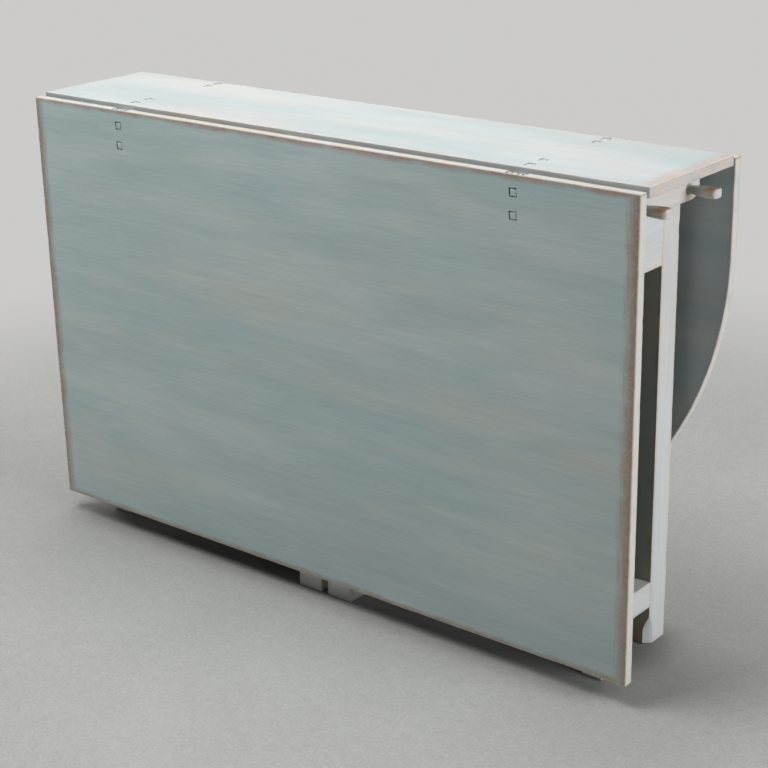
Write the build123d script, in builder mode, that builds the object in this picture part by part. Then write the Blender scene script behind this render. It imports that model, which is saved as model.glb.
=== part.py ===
from build123d import *
import os
from math import sqrt

os.makedirs("parts", exist_ok=True)

# Gateleg table, closed.  Origin on the floor under the middle of the top,
# +X along the fixed top, -Y towards the rectangular leaf, +Z up.  Millimetres.

# ---------------------------------------------------------------- dimensions
HEIGHT = 750.0            # floor to upper face of the top
TOP_L = 1161.0            # fixed top, length
TOP_W = 222.0             # fixed top, width
TOP_T = 16.0              # thickness of every board
EDGE_R = 1.4              # softened board edges

LEAF_T = 16.0
LEAF_Y = 117.5            # inner face of a hanging leaf
LEAF_TOP = 744.5          # upper edge of a hanging leaf
FRONT_LEAF_L = 1162.0
FRONT_LEAF_LOW = 34.5     # lower edge of the rectangular leaf
REAR_LEAF_R = 580.0       # radius of the half-round leaf
REAR_LEAF_ARC_Z = 604.5   # height of the arc's centre

POST = 44.5               # square section of the corner posts
POST_X = 513.5            # outer face of a post, along X
POST_Y = 88.0             # outer face of a post, along Y
FRAME_TOP = HEIGHT - TOP_T
CHAMFER_LEG = 11.0        # stop chamfer at a foot: width on each face
CHAMFER_FULL = 25.0       # full width up to here
CHAMFER_END = 50.0        # run-out ends here

APRON_LOW = 597.0         # lower edge of aprons and upper end rails
STRETCH_LOW = 66.0        # lower rails and stretchers
STRETCH_TOP = 107.5
SIDE_T = 22.0             # thickness of aprons and stretchers
END_T = 26.0              # thickness of end rails
TENON_T = 9.0
TENON_L = 21.0
TENON_TOP = 686.0         # tenons stay below the locking pegs

BATTEN_T = 24.5
BATTEN_W = 192.0
BATTEN_LOW = 687.8
BATTEN_R = 20.0

SCREW_Y = (-40.0, 0.0, 40.0)
SCREW_D = 4.0
SCREW_HEAD = 8.0

PEG_Z = 705.0             # axis of the locking pegs
PEG_D = 15.0
PEG_CLEAR = 0.1           # on the diameter
PEG_IN = 32.0             # depth of the peg's hole in the post
PEG_OUT = 47.0            # handle beyond the batten

PIVOT_Y = 120.0           # hinge axis of a leaf
PIVOT_Z = 736.5
HINGE_X = (-383.5, 383.5)
HINGE_W = 30.0
HINGE_T = 2.5
KNUCKLE_D = 8.0
HINGE_PIN_D = 3.9
HINGE_GAP = 0.3
TOP_PLATE_IN = 48.0       # inner end of the hinge's top plate
LEAF_PLATE_LOW = 675.0
RIVET_D = 4.9
RIVET_HEAD = 10.0
RIVET_PROUD = 0.6
FRONT_TOP_RIVETS = (93.0, 61.0)   # distance from the middle line
REAR_TOP_RIVETS = (97.0, 73.0)
LEAF_RIVETS = (719.0, 687.0)      # heights

GATE_PIVOT_X = 448.0
GATE_PIVOT_Y = 77.0
STILE_W = 30.0
STILE_T = 22.0
JOURNAL_D = 14.0
JOURNAL_L = 18.0
GATE_LEG_FRONT = 115.5    # outer face of a gate leg
GATE_LEG_BACK = 67.0
GATE_NOTCH = 88.5         # back of the notches round apron and stretcher
GATE_LEG_TOP = 733.5
GATE_FOOT = 0.5
GATE_RAIL_T = 20.0
GATE_RAILS = {"upper": (515.0, 575.0), "lower": (128.0, 178.0)}
GATE_TENON_L = 16.0
# gate legs of the front side, left and right; the rear side is turned by 180 degrees
LEG_SPANS = {-1: (-47.5, 0.5), 1: (12.5, 63.0)}

SIDE_NAMES = {-1: "front", 1: "rear"}
END_NAMES = {-1: "left", 1: "right"}


# ---------------------------------------------------------------- helpers
def bar(x0, x1, y0, y1, z0, z1, mode=Mode.ADD):
    """Straight rectangular bar between two corners, in the active part."""
    with BuildSketch(Plane.XY.offset(min(z0, z1))) as section:
        with Locations(((x0 + x1) / 2, (y0 + y1) / 2)):
            Rectangle(abs(x1 - x0), abs(y1 - y0))
    extrude(section.sketch, amount=abs(z1 - z0), mode=mode)


def rod(centre, direction, diameter, length, mode=Mode.ADD):
    """Round bar that starts at centre and runs along direction."""
    with BuildSketch(Plane(origin=centre, z_dir=direction)) as section:
        Circle(diameter / 2)
    extrude(section.sketch, amount=length, mode=mode)


def save(part, label):
    part.label = label
    export_step(part, f"parts/{label}.step")


# ---------------------------------------------------------------- fixed top
with BuildPart() as top_board:
    bar(-TOP_L / 2, TOP_L / 2, -TOP_W / 2, TOP_W / 2, FRAME_TOP, HEIGHT)
    fillet(top_board.edges(), EDGE_R)
    for sy, rows in ((-1, FRONT_TOP_RIVETS), (1, REAR_TOP_RIVETS)):
        for hx in HINGE_X:
            # housing for the hinge's top plate, open at the board's edge
            bar(hx - HINGE_W / 2 - 0.1, hx + HINGE_W / 2 + 0.1, sy * (TOP_PLATE_IN - 0.1),
                sy * (TOP_W / 2 + 1), FRAME_TOP - 1, FRAME_TOP + HINGE_T, mode=Mode.SUBTRACT)
            for y in rows:
                rod((hx, sy * y, FRAME_TOP - 1), (0, 0, 1), RIVET_D + 0.1, TOP_T + 2, mode=Mode.SUBTRACT)
                bar(hx - RIVET_HEAD / 2 - 0.3, hx + RIVET_HEAD / 2 + 0.3, sy * y - RIVET_HEAD / 2 - 0.3,
                    sy * y + RIVET_HEAD / 2 + 0.3, HEIGHT - 1.5, HEIGHT + 1, mode=Mode.SUBTRACT)
    for sx in (-1, 1):
        for y in SCREW_Y:
            # pilot hole of a batten screw
            rod((sx * (POST_X + BATTEN_T / 2), y, FRAME_TOP - 1), (0, 0, 1), SCREW_D, 12.0, mode=Mode.SUBTRACT)
save(top_board.part, "top_board")

with BuildPart() as top_rivets:
    for sy, rows in ((-1, FRONT_TOP_RIVETS), (1, REAR_TOP_RIVETS)):
        for hx in HINGE_X:
            for y in rows:
                bar(hx - RIVET_HEAD / 2, hx + RIVET_HEAD / 2, sy * y - RIVET_HEAD / 2, sy * y + RIVET_HEAD / 2,
                    HEIGHT - 1.4, HEIGHT)
                rod((hx, sy * y, FRAME_TOP + 0.1), (0, 0, 1), RIVET_D, TOP_T - 1.0)
    chamfer(top_rivets.faces().filter_by(Plane.XY).group_by(Axis.Z)[-1].edges(), 0.5)
save(top_rivets.part, "hinge_rivets_top")


# ---------------------------------------------------------------- leaves
def leaf_fittings(sy):
    """Notches, plate housings and rivet holes in the active leaf."""
    outer = LEAF_Y + LEAF_T
    for hx in HINGE_X:
        bar(hx - 17.0, hx + 17.0, sy * 125.0, sy * (LEAF_Y - 1), 731.0, LEAF_TOP + 1, mode=Mode.SUBTRACT)
        bar(hx - HINGE_W / 2 - 0.1, hx + HINGE_W / 2 + 0.1, sy * (LEAF_Y + HINGE_T), sy * (LEAF_Y - 1),
            LEAF_PLATE_LOW - 0.1, 731.5, mode=Mode.SUBTRACT)
        for z in LEAF_RIVETS:
            rod((hx, sy * (LEAF_Y - 1), z), (0, sy, 0), RIVET_D + 0.1, LEAF_T + 2, mode=Mode.SUBTRACT)
            bar(hx - RIVET_HEAD / 2 - 0.3, hx + RIVET_HEAD / 2 + 0.3, sy * (outer - 1.5), sy * (outer + 1),
                z - RIVET_HEAD / 2 - 0.3, z + RIVET_HEAD / 2 + 0.3, mode=Mode.SUBTRACT)


with BuildPart() as front_leaf:
    bar(-FRONT_LEAF_L / 2, FRONT_LEAF_L / 2, -LEAF_Y - LEAF_T, -LEAF_Y, FRONT_LEAF_LOW, LEAF_TOP)
    fillet(front_leaf.edges(), EDGE_R)
    leaf_fittings(-1)
save(front_leaf.part, "front_leaf")

with BuildPart() as rear_leaf:
    with BuildSketch(Plane.XZ.offset(-LEAF_Y)):
        with BuildLine():
            Polyline((-REAR_LEAF_R, REAR_LEAF_ARC_Z), (-REAR_LEAF_R, LEAF_TOP),
                     (REAR_LEAF_R, LEAF_TOP), (REAR_LEAF_R, REAR_LEAF_ARC_Z))
            ThreePointArc((REAR_LEAF_R, REAR_LEAF_ARC_Z), (0, REAR_LEAF_ARC_Z - REAR_LEAF_R),
                          (-REAR_LEAF_R, REAR_LEAF_ARC_Z))
        make_face()
    extrude(amount=-LEAF_T)
    fillet(rear_leaf.faces().filter_by(Axis.Y).edges(), EDGE_R)
    leaf_fittings(1)
save(rear_leaf.part, "rear_leaf")

for sy in (-1, 1):
    with BuildPart() as leaf_rivets:
        outer = LEAF_Y + LEAF_T
        for hx in HINGE_X:
            for z in LEAF_RIVETS:
                bar(hx - RIVET_HEAD / 2, hx + RIVET_HEAD / 2, sy * (outer - 1.4), sy * (outer + RIVET_PROUD),
                    z - RIVET_HEAD / 2, z + RIVET_HEAD / 2)
                rod((hx, sy * (LEAF_Y + 0.1), z), (0, sy, 0), RIVET_D, LEAF_T - 1.0)
        chamfer(leaf_rivets.faces().filter_by(Plane.XZ).group_by(Axis.Y)[0 if sy < 0 else -1].edges(), 0.6)
    save(leaf_rivets.part, f"hinge_rivets_{SIDE_NAMES[sy]}_leaf")


# ---------------------------------------------------------------- strap hinges
for sy in (-1, 1):
    rows = FRONT_TOP_RIVETS if sy < 0 else REAR_TOP_RIVETS
    for sx, hx in zip((-1, 1), HINGE_X):
        side = f"{SIDE_NAMES[sy]}_{END_NAMES[sx]}"
        tab = HINGE_W / 3 - HINGE_GAP / 2
        outer_edge = PIVOT_Y - KNUCKLE_D / 2 - HINGE_GAP

        with BuildPart() as top_plate:
            bar(hx - HINGE_W / 2, hx + HINGE_W / 2, sy * TOP_PLATE_IN, sy * outer_edge, FRAME_TOP, PIVOT_Z)
            for s in (-1, 1):
                far = hx + s * HINGE_W / 2
                bar(far, far - s * tab, sy * (outer_edge - 1), sy * PIVOT_Y, FRAME_TOP, PIVOT_Z)
                rod((far, sy * PIVOT_Y, PIVOT_Z), (-s, 0, 0), KNUCKLE_D, tab)
            rod((hx - HINGE_W, sy * PIVOT_Y, PIVOT_Z), (1, 0, 0), HINGE_PIN_D + 0.1, 2 * HINGE_W,
                mode=Mode.SUBTRACT)
            for y in rows:
                rod((hx, sy * y, FRAME_TOP - 1), (0, 0, 1), RIVET_D + 0.1, HINGE_T + 2, mode=Mode.SUBTRACT)
        save(top_plate.part, f"hinge_top_plate_{side}")

        with BuildPart() as leaf_plate:
            bar(hx - HINGE_W / 2, hx + HINGE_W / 2, sy * LEAF_Y, sy * PIVOT_Y, LEAF_PLATE_LOW,
                PIVOT_Z - KNUCKLE_D / 2 - HINGE_GAP)
            half = HINGE_W / 6 - HINGE_GAP / 2
            bar(hx - half, hx + half, sy * LEAF_Y, sy * PIVOT_Y, PIVOT_Z - KNUCKLE_D / 2 - 1, PIVOT_Z)
            rod((hx - half, sy * PIVOT_Y, PIVOT_Z), (1, 0, 0), KNUCKLE_D, 2 * half)
            rod((hx - HINGE_W, sy * PIVOT_Y, PIVOT_Z), (1, 0, 0), HINGE_PIN_D + 0.1, 2 * HINGE_W,
                mode=Mode.SUBTRACT)
            for z in LEAF_RIVETS:
                rod((hx, sy * (LEAF_Y - 1), z), (0, sy, 0), RIVET_D + 0.1, HINGE_T + 2, mode=Mode.SUBTRACT)
        save(leaf_plate.part, f"hinge_leaf_plate_{side}")

        with BuildPart() as pin:
            rod((hx - HINGE_W / 2, sy * PIVOT_Y, PIVOT_Z), (1, 0, 0), HINGE_PIN_D, HINGE_W)
            for s in (-1, 1):
                # peened end outside the knuckle
                with BuildSketch(Plane(origin=(hx + s * (HINGE_W / 2 + 0.1), sy * PIVOT_Y, PIVOT_Z),
                                       z_dir=(s, 0, 0))):
                    Circle(2.9)
                extrude(amount=1.0, taper=25)
                rod((hx + s * (HINGE_W / 2 - 0.5), sy * PIVOT_Y, PIVOT_Z), (s, 0, 0), HINGE_PIN_D, 1.0)
        save(pin.part, f"hinge_pin_{side}")


# ---------------------------------------------------------------- corner posts
def stop_chamfer(cx, cy, ux, uy):
    """Stop chamfer with a curved run-out on the vertical edge at (cx, cy).

    (ux, uy) points from that edge to the inside of the post."""
    depth = CHAMFER_LEG / sqrt(2)
    inward = Vector(ux, uy, 0).normalized()
    across = inward.cross(Vector(0, 0, 1))
    with BuildSketch(Plane(origin=(cx, cy, 0), x_dir=inward, z_dir=across)) as profile:
        up = 1 if profile.workplanes[0].y_dir.Z > 0 else -1
        with BuildLine():
            Polyline((0, up * CHAMFER_END), (-6, up * CHAMFER_END), (-6, -up * 2), (depth, -up * 2),
                     (depth, up * CHAMFER_FULL))
            ThreePointArc((depth, up * CHAMFER_FULL), (depth * 0.56, up * (CHAMFER_FULL + 12.5)),
                          (0, up * CHAMFER_END))
        make_face()
    extrude(profile.sketch, amount=16, both=True, mode=Mode.SUBTRACT)


for sx in (-1, 1):
    for sy in (-1, 1):
        with BuildPart() as post:
            bar(sx * (POST_X - POST), sx * POST_X, sy * (POST_Y - POST), sy * POST_Y, 0, FRAME_TOP)
            fillet(post.edges().filter_by(Axis.Z), 1.2)
            stop_chamfer(sx * (POST_X - POST), sy * POST_Y, sx, -sy)
            stop_chamfer(sx * POST_X, sy * (POST_Y - POST), -sx, sy)
            # mortises of the end rails, cut from the inner Y face
            for z0, z1 in ((APRON_LOW + 8, TENON_TOP), (STRETCH_LOW + 6, STRETCH_TOP - 6)):
                cx = sx * (POST_X - END_T / 2)
                bar(cx - TENON_T / 2, cx + TENON_T / 2, sy * (POST_Y - POST - 1),
                    sy * (POST_Y - POST + TENON_L), z0, z1, mode=Mode.SUBTRACT)
            # mortises of the apron and stretcher, cut from the inner X face
            for z0, z1 in ((APRON_LOW + 8, TENON_TOP), (STRETCH_LOW + 6, STRETCH_TOP - 6)):
                cy = sy * (POST_Y - SIDE_T / 2)
                bar(sx * (POST_X - POST - 1), sx * (POST_X - POST + TENON_L), cy - TENON_T / 2,
                    cy + TENON_T / 2, z0, z1, mode=Mode.SUBTRACT)
            # blind hole of the locking peg
            rod((sx * (POST_X + 1), sy * (POST_Y - POST / 2), PEG_Z), (-sx, 0, 0), PEG_D + PEG_CLEAR,
                PEG_IN + 1, mode=Mode.SUBTRACT)
        save(post.part, f"post_{SIDE_NAMES[sy]}_{END_NAMES[sx]}")


# ---------------------------------------------------------------- end rails
for sx in (-1, 1):
    for name, z0, z1, t0, t1 in (("upper", APRON_LOW, FRAME_TOP, APRON_LOW + 8, TENON_TOP),
                                 ("lower", STRETCH_LOW, STRETCH_TOP, STRETCH_LOW + 6, STRETCH_TOP - 6)):
        with BuildPart() as end_rail:
            inner = POST_Y - POST
            bar(sx * (POST_X - END_T), sx * POST_X, -inner, inner, z0, z1)
            fillet(end_rail.edges().filter_by(Axis.Y), 1.0)
            cx = sx * (POST_X - END_T / 2)
            bar(cx - TENON_T / 2, cx + TENON_T / 2, -inner - TENON_L + 0.5, inner + TENON_L - 0.5, t0, t1)
        save(end_rail.part, f"end_rail_{name}_{END_NAMES[sx]}")


# ---------------------------------------------------------------- aprons and stretchers
for sy in (-1, 1):
    for name, z0, z1, t0, t1 in (("apron", APRON_LOW, FRAME_TOP, APRON_LOW + 8, TENON_TOP),
                                 ("stretcher", STRETCH_LOW, STRETCH_TOP, STRETCH_LOW + 6, STRETCH_TOP - 6)):
        with BuildPart() as side_rail:
            inner = POST_X - POST
            bar(-inner, inner, sy * (POST_Y - SIDE_T), sy * POST_Y, z0, z1)
            fillet(side_rail.edges().filter_by(Axis.X), 1.0)
            cy = sy * (POST_Y - SIDE_T / 2)
            bar(-inner - TENON_L + 0.5, inner + TENON_L - 0.5, cy - TENON_T / 2, cy + TENON_T / 2, t0, t1)
            for sx in (-1, 1):
                # bearing hole of a gate stile's journal
                if name == "apron":
                    rod((sx * GATE_PIVOT_X, sy * GATE_PIVOT_Y, APRON_LOW - 1), (0, 0, 1), JOURNAL_D + 0.15,
                        JOURNAL_L + 2, mode=Mode.SUBTRACT)
                else:
                    rod((sx * GATE_PIVOT_X, sy * GATE_PIVOT_Y, STRETCH_TOP + 1), (0, 0, -1), JOURNAL_D + 0.15,
                        JOURNAL_L + 2, mode=Mode.SUBTRACT)
        save(side_rail.part, f"{name}_{SIDE_NAMES[sy]}")


# ---------------------------------------------------------------- battens under the top
for sx in (-1, 1):
    with BuildPart() as batten:
        with BuildSketch(Plane.YZ.offset(sx * POST_X)):
            with Locations((0, (BATTEN_LOW + FRAME_TOP) / 2)):
                Rectangle(BATTEN_W, FRAME_TOP - BATTEN_LOW)
            fillet(vertices().group_by(Axis.Z)[0], BATTEN_R)
        extrude(amount=sx * BATTEN_T)
        fillet(batten.faces().filter_by(Plane.YZ).edges().filter_by(lambda e: e.center().Z < FRAME_TOP - 1),
               1.2)
        for sy in (-1, 1):
            rod((sx * (POST_X - 1), sy * (POST_Y - POST / 2), PEG_Z), (sx, 0, 0), PEG_D + PEG_CLEAR,
                BATTEN_T + 2, mode=Mode.SUBTRACT)
        for y in SCREW_Y:
            # stepped hole of a screw, driven from below
            cx = sx * (POST_X + BATTEN_T / 2)
            rod((cx, y, BATTEN_LOW - 1), (0, 0, 1), SCREW_D + 0.1, 60.0, mode=Mode.SUBTRACT)
            rod((cx, y, BATTEN_LOW - 1), (0, 0, 1), SCREW_HEAD + 1.0, 13.0, mode=Mode.SUBTRACT)
    save(batten.part, f"batten_{END_NAMES[sx]}")

with BuildPart() as batten_screws:
    for sx in (-1, 1):
        for y in SCREW_Y:
            cx = sx * (POST_X + BATTEN_T / 2)
            with BuildSketch(Plane(origin=(cx, y, 0), x_dir=(1, 0, 0), z_dir=(0, -1, 0))):
                with BuildLine():
                    Polyline((0, BATTEN_LOW + 9), (SCREW_HEAD / 2, BATTEN_LOW + 9),
                             (SCREW_HEAD / 2, BATTEN_LOW + 12), (SCREW_D / 2, BATTEN_LOW + 12),
                             (SCREW_D / 2, FRAME_TOP + 8.5), (0, FRAME_TOP + 10.5), close=True)
                make_face()
            revolve(axis=Axis((cx, y, 0), (0, 0, 1)))
            # slot of the head
            bar(cx - 5, cx + 5, y - 0.5, y + 0.5, BATTEN_LOW + 8, BATTEN_LOW + 10.2, mode=Mode.SUBTRACT)
save(batten_screws.part, "batten_screws")


# ---------------------------------------------------------------- locking pegs
for sx in (-1, 1):
    for sy in (-1, 1):
        cy = sy * (POST_Y - POST / 2)
        face = POST_X + BATTEN_T                    # outer face of the batten
        with BuildPart() as peg:
            # paddle handle: narrow neck, widening to a blunt rounded tip
            with BuildSketch(Plane.XY.offset(PEG_Z - 7.0)):
                with BuildLine():
                    Polyline((sx * (face + PEG_OUT), cy + 7.5), (sx * (face + PEG_OUT), cy - 7.5))
                    Spline((sx * (face + PEG_OUT), cy - 7.5), (sx * (face + PEG_OUT - 5), cy - 11.6),
                           (sx * (face + 21), cy - 10.4), (sx * (face + 0.4), cy - 7.6))
                    Line((sx * (face + 0.4), cy - 7.6), (sx * (face + 0.4), cy + 7.6))
                    Spline((sx * (face + 0.4), cy + 7.6), (sx * (face + 21), cy + 10.4),
                           (sx * (face + PEG_OUT - 5), cy + 11.6), (sx * (face + PEG_OUT), cy + 7.5))
                make_face()
            extrude(amount=14.0)
            chamfer(peg.faces().filter_by(Axis.Z).edges(), 2.4)
            rod((sx * (face + 2.0), cy, PEG_Z), (-sx, 0, 0), PEG_D, 2.0 + BATTEN_T + PEG_IN - 1.5)
            chamfer(peg.faces().filter_by(Plane.YZ).sort_by(Axis.X)[0 if sx > 0 else -1].edges(), 1.5)
        save(peg.part, f"lock_peg_{SIDE_NAMES[sy]}_{END_NAMES[sx]}")


# ---------------------------------------------------------------- gates
# Each gate: pivot stile with turned journals, two rails and a notched leg.
# The spans below are for the front side; the rear side is the same, turned by 180 degrees.
for sy in (-1, 1):
    turn = -sy                                      # front: 1, rear: -1
    for sx in (-1, 1):
        # sx is the side where the gate hangs; its front-side pattern
        pattern = sx * turn
        leg0, leg1 = (turn * v for v in LEG_SPANS[pattern])
        px, py = sx * GATE_PIVOT_X, sy * GATE_PIVOT_Y
        side = f"{SIDE_NAMES[sy]}_{END_NAMES[sx]}"
        near = leg0 if abs(leg0 - px) < abs(leg1 - px) else leg1   # leg face towards the stile
        stile_face = px - sx * STILE_W / 2
        stile_low, stile_high = STRETCH_TOP + 1.0, APRON_LOW - 1.0

        with BuildPart() as stile:
            bar(px - STILE_W / 2, px + STILE_W / 2, py - STILE_T / 2, py + STILE_T / 2, stile_low, stile_high)
            fillet(stile.edges().filter_by(Axis.Z), 3.0)
            rod((px, py, stile_high), (0, 0, 1), JOURNAL_D, JOURNAL_L)
            rod((px, py, stile_low), (0, 0, -1), JOURNAL_D, JOURNAL_L)
            chamfer(stile.faces().filter_by(Plane.XY).sort_by(Axis.Z)[0].edges(), 1.0)
            chamfer(stile.faces().filter_by(Plane.XY).sort_by(Axis.Z)[-1].edges(), 1.0)
            for z0, z1 in GATE_RAILS.values():
                bar(stile_face - sx * 1, stile_face + sx * GATE_TENON_L, py - 4, py + 4, z0 + 7, z1 - 7,
                    mode=Mode.SUBTRACT)
        save(stile.part, f"gate_stile_{side}")

        with BuildPart() as gate_leg:
            with BuildSketch(Plane.YZ.offset(min(leg0, leg1))):
                with BuildLine():
                    f, b, n = sy * GATE_LEG_FRONT, sy * GATE_LEG_BACK, sy * GATE_NOTCH
                    Polyline((f, GATE_FOOT), (b, GATE_FOOT), (b, STRETCH_LOW - 3), (n, STRETCH_LOW - 3),
                             (n, STRETCH_TOP + 3), (b, STRETCH_TOP + 3), (b, APRON_LOW - 3),
                             (n, APRON_LOW - 3), (n, GATE_LEG_TOP), (f, GATE_LEG_TOP), close=True)
                make_face()
            extrude(amount=abs(leg1 - leg0))
            fillet(gate_leg.edges().filter_by(Axis.Z), 1.2)
            for z0, z1 in GATE_RAILS.values():
                bar(near + sx * 1, near - sx * GATE_TENON_L, py - 4, py + 4, z0 + 7, z1 - 7, mode=Mode.SUBTRACT)
        save(gate_leg.part, f"gate_leg_{side}")

        for name, (z0, z1) in GATE_RAILS.items():
            with BuildPart() as gate_rail:
                bar(stile_face, near, py - GATE_RAIL_T / 2, py + GATE_RAIL_T / 2, z0, z1)
                fillet(gate_rail.edges().filter_by(Axis.X), 1.5)
                bar(stile_face + sx * (GATE_TENON_L - 0.5), near - sx * (GATE_TENON_L - 0.5), py - 4, py + 4,
                    z0 + 7, z1 - 7)
            save(gate_rail.part, f"gate_rail_{name}_{side}")
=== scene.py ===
import math
import random

import bmesh
import bpy
import numpy as np
from mathutils import Matrix, Vector, geometry, noise


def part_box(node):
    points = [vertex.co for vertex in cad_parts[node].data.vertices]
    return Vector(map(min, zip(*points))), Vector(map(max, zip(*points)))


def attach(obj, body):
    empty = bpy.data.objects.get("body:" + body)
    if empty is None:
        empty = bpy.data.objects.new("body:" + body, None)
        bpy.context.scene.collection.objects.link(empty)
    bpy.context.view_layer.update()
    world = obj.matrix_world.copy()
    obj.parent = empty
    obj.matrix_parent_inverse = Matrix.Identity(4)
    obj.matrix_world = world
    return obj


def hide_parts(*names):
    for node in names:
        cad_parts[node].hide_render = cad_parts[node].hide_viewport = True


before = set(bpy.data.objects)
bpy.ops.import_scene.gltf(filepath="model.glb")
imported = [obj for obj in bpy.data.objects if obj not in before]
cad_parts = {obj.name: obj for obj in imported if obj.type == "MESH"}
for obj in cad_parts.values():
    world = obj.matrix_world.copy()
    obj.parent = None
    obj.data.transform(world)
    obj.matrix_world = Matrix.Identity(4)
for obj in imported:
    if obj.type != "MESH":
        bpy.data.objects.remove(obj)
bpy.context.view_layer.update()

MM = 0.001


# ================================================================ node helpers
class Net:
    """Short calls that add and join shader nodes in one tree."""

    def __init__(self, tree):
        self.tree = tree

    def put(self, socket, value):
        if value is None:
            return
        if isinstance(value, bpy.types.NodeSocket):
            self.tree.links.new(value, socket)
        elif isinstance(value, (tuple, list)) and len(value) == 3 and socket.type == "RGBA":
            socket.default_value = (*value, 1.0)
        else:
            socket.default_value = value

    def add(self, kind, inputs=None, **props):
        node = self.tree.nodes.new(kind)
        for key, value in props.items():
            setattr(node, key, value)
        for key, value in (inputs or {}).items():
            self.put(node.inputs[key], value)
        return node

    def math(self, op, a, b=None, c=None, clamp=False):
        node = self.add("ShaderNodeMath", operation=op, use_clamp=clamp)
        for i, value in enumerate((a, b, c)):
            self.put(node.inputs[i], value)
        return node.outputs[0]

    def vec(self, op, a, b=None, out=0):
        node = self.add("ShaderNodeVectorMath", operation=op)
        self.put(node.inputs[0], a)
        if b is not None:
            self.put(node.inputs["Scale" if op == "SCALE" else 1], b)
        return node.outputs[out]

    def dot(self, a, b):
        return self.vec("DOT_PRODUCT", a, b, out=1)

    def xyz(self, v):
        node = self.add("ShaderNodeSeparateXYZ", {0: v})
        return node.outputs[0], node.outputs[1], node.outputs[2]

    def join(self, x, y, z):
        return self.add("ShaderNodeCombineXYZ", {0: x, 1: y, 2: z}).outputs[0]

    def noise(self, v, scale=1.0, detail=2.0, rough=0.5, distort=0.0, lac=2.0):
        return self.add("ShaderNodeTexNoise", {"Vector": v, "Scale": scale, "Detail": detail, "Roughness": rough,
                                               "Distortion": distort, "Lacunarity": lac}).outputs[0]

    def voronoi(self, v, scale=1.0, feature="F1", rand=1.0, out="Distance"):
        return self.add("ShaderNodeTexVoronoi", {"Vector": v, "Scale": scale, "Randomness": rand},
                        feature=feature).outputs[out]

    def span(self, value, a, b, lo=0.0, hi=1.0, smooth=True):
        """value from a..b mapped to lo..hi, held at the ends."""
        return self.add("ShaderNodeMapRange", {0: value, 1: a, 2: b, 3: lo, 4: hi}, clamp=True,
                        interpolation_type="SMOOTHSTEP" if smooth else "LINEAR").outputs[0]

    def mix(self, fac, a, b):
        node = self.add("ShaderNodeMix", data_type="RGBA", blend_type="MIX")
        self.put(node.inputs[0], fac)
        self.put(node.inputs[6], a)
        self.put(node.inputs[7], b)
        return node.outputs[2]

    def shade(self, colour, value):
        """colour times a number."""
        return self.vec("SCALE", colour, value)


def group(name, inputs, outputs):
    tree = bpy.data.node_groups.new(name, "ShaderNodeTree")
    for label, kind, default in inputs:
        s = tree.interface.new_socket(label, in_out="INPUT", socket_type=kind)
        if default is not None:
            s.default_value = default
    for label, kind in outputs:
        tree.interface.new_socket(label, in_out="OUTPUT", socket_type=kind)
    net = Net(tree)
    gin, gout = net.add("NodeGroupInput"), net.add("NodeGroupOutput")
    return tree, net, gin.outputs, gout.inputs


F, V, C = "NodeSocketFloat", "NodeSocketVector", "NodeSocketColor"


# ================================================================ distance to the arrises
def make_box_edges():
    """How near a point of a board is to its arrises.  Rub is 1 at an arris and 0 a band's width away; Line is the same within a few millimetres."""
    tree, n, i, o = group(
        "box_edges",
        [("Centre", V, (0, 0, 0)), ("Half", V, (1, 1, 1)), ("Band", V, (10, 10, 10)), ("Wander", F, 1.0),
         ("LineWidth", F, 2.0)],
        [("Rub", F), ("Line", F)],
    )
    p = n.add("ShaderNodeTexCoord").outputs["Object"]
    p = n.vec("SCALE", p, 1000.0)
    d = n.vec("SUBTRACT", i["Half"], n.vec("ABSOLUTE", n.vec("SUBTRACT", p, i["Centre"])))
    band = n.vec("SCALE", i["Band"], i["Wander"])
    bx, by, bz = n.xyz(n.vec("DIVIDE", d, band))
    dx, dy, dz = n.xyz(d)
    for parts, label in (((bx, by, bz), "Rub"), ((dx, dy, dz), "Line")):
        if label == "Line":
            parts = [n.math("DIVIDE", v, i["LineWidth"]) for v in parts]
        x, y, z = [n.math("SUBTRACT", 1.0, v, clamp=True) for v in parts]
        second = n.math("MAXIMUM", n.math("MAXIMUM", n.math("MINIMUM", x, y), n.math("MINIMUM", y, z)),
                        n.math("MINIMUM", x, z))
        n.put(o[label], second)
    return tree


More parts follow.
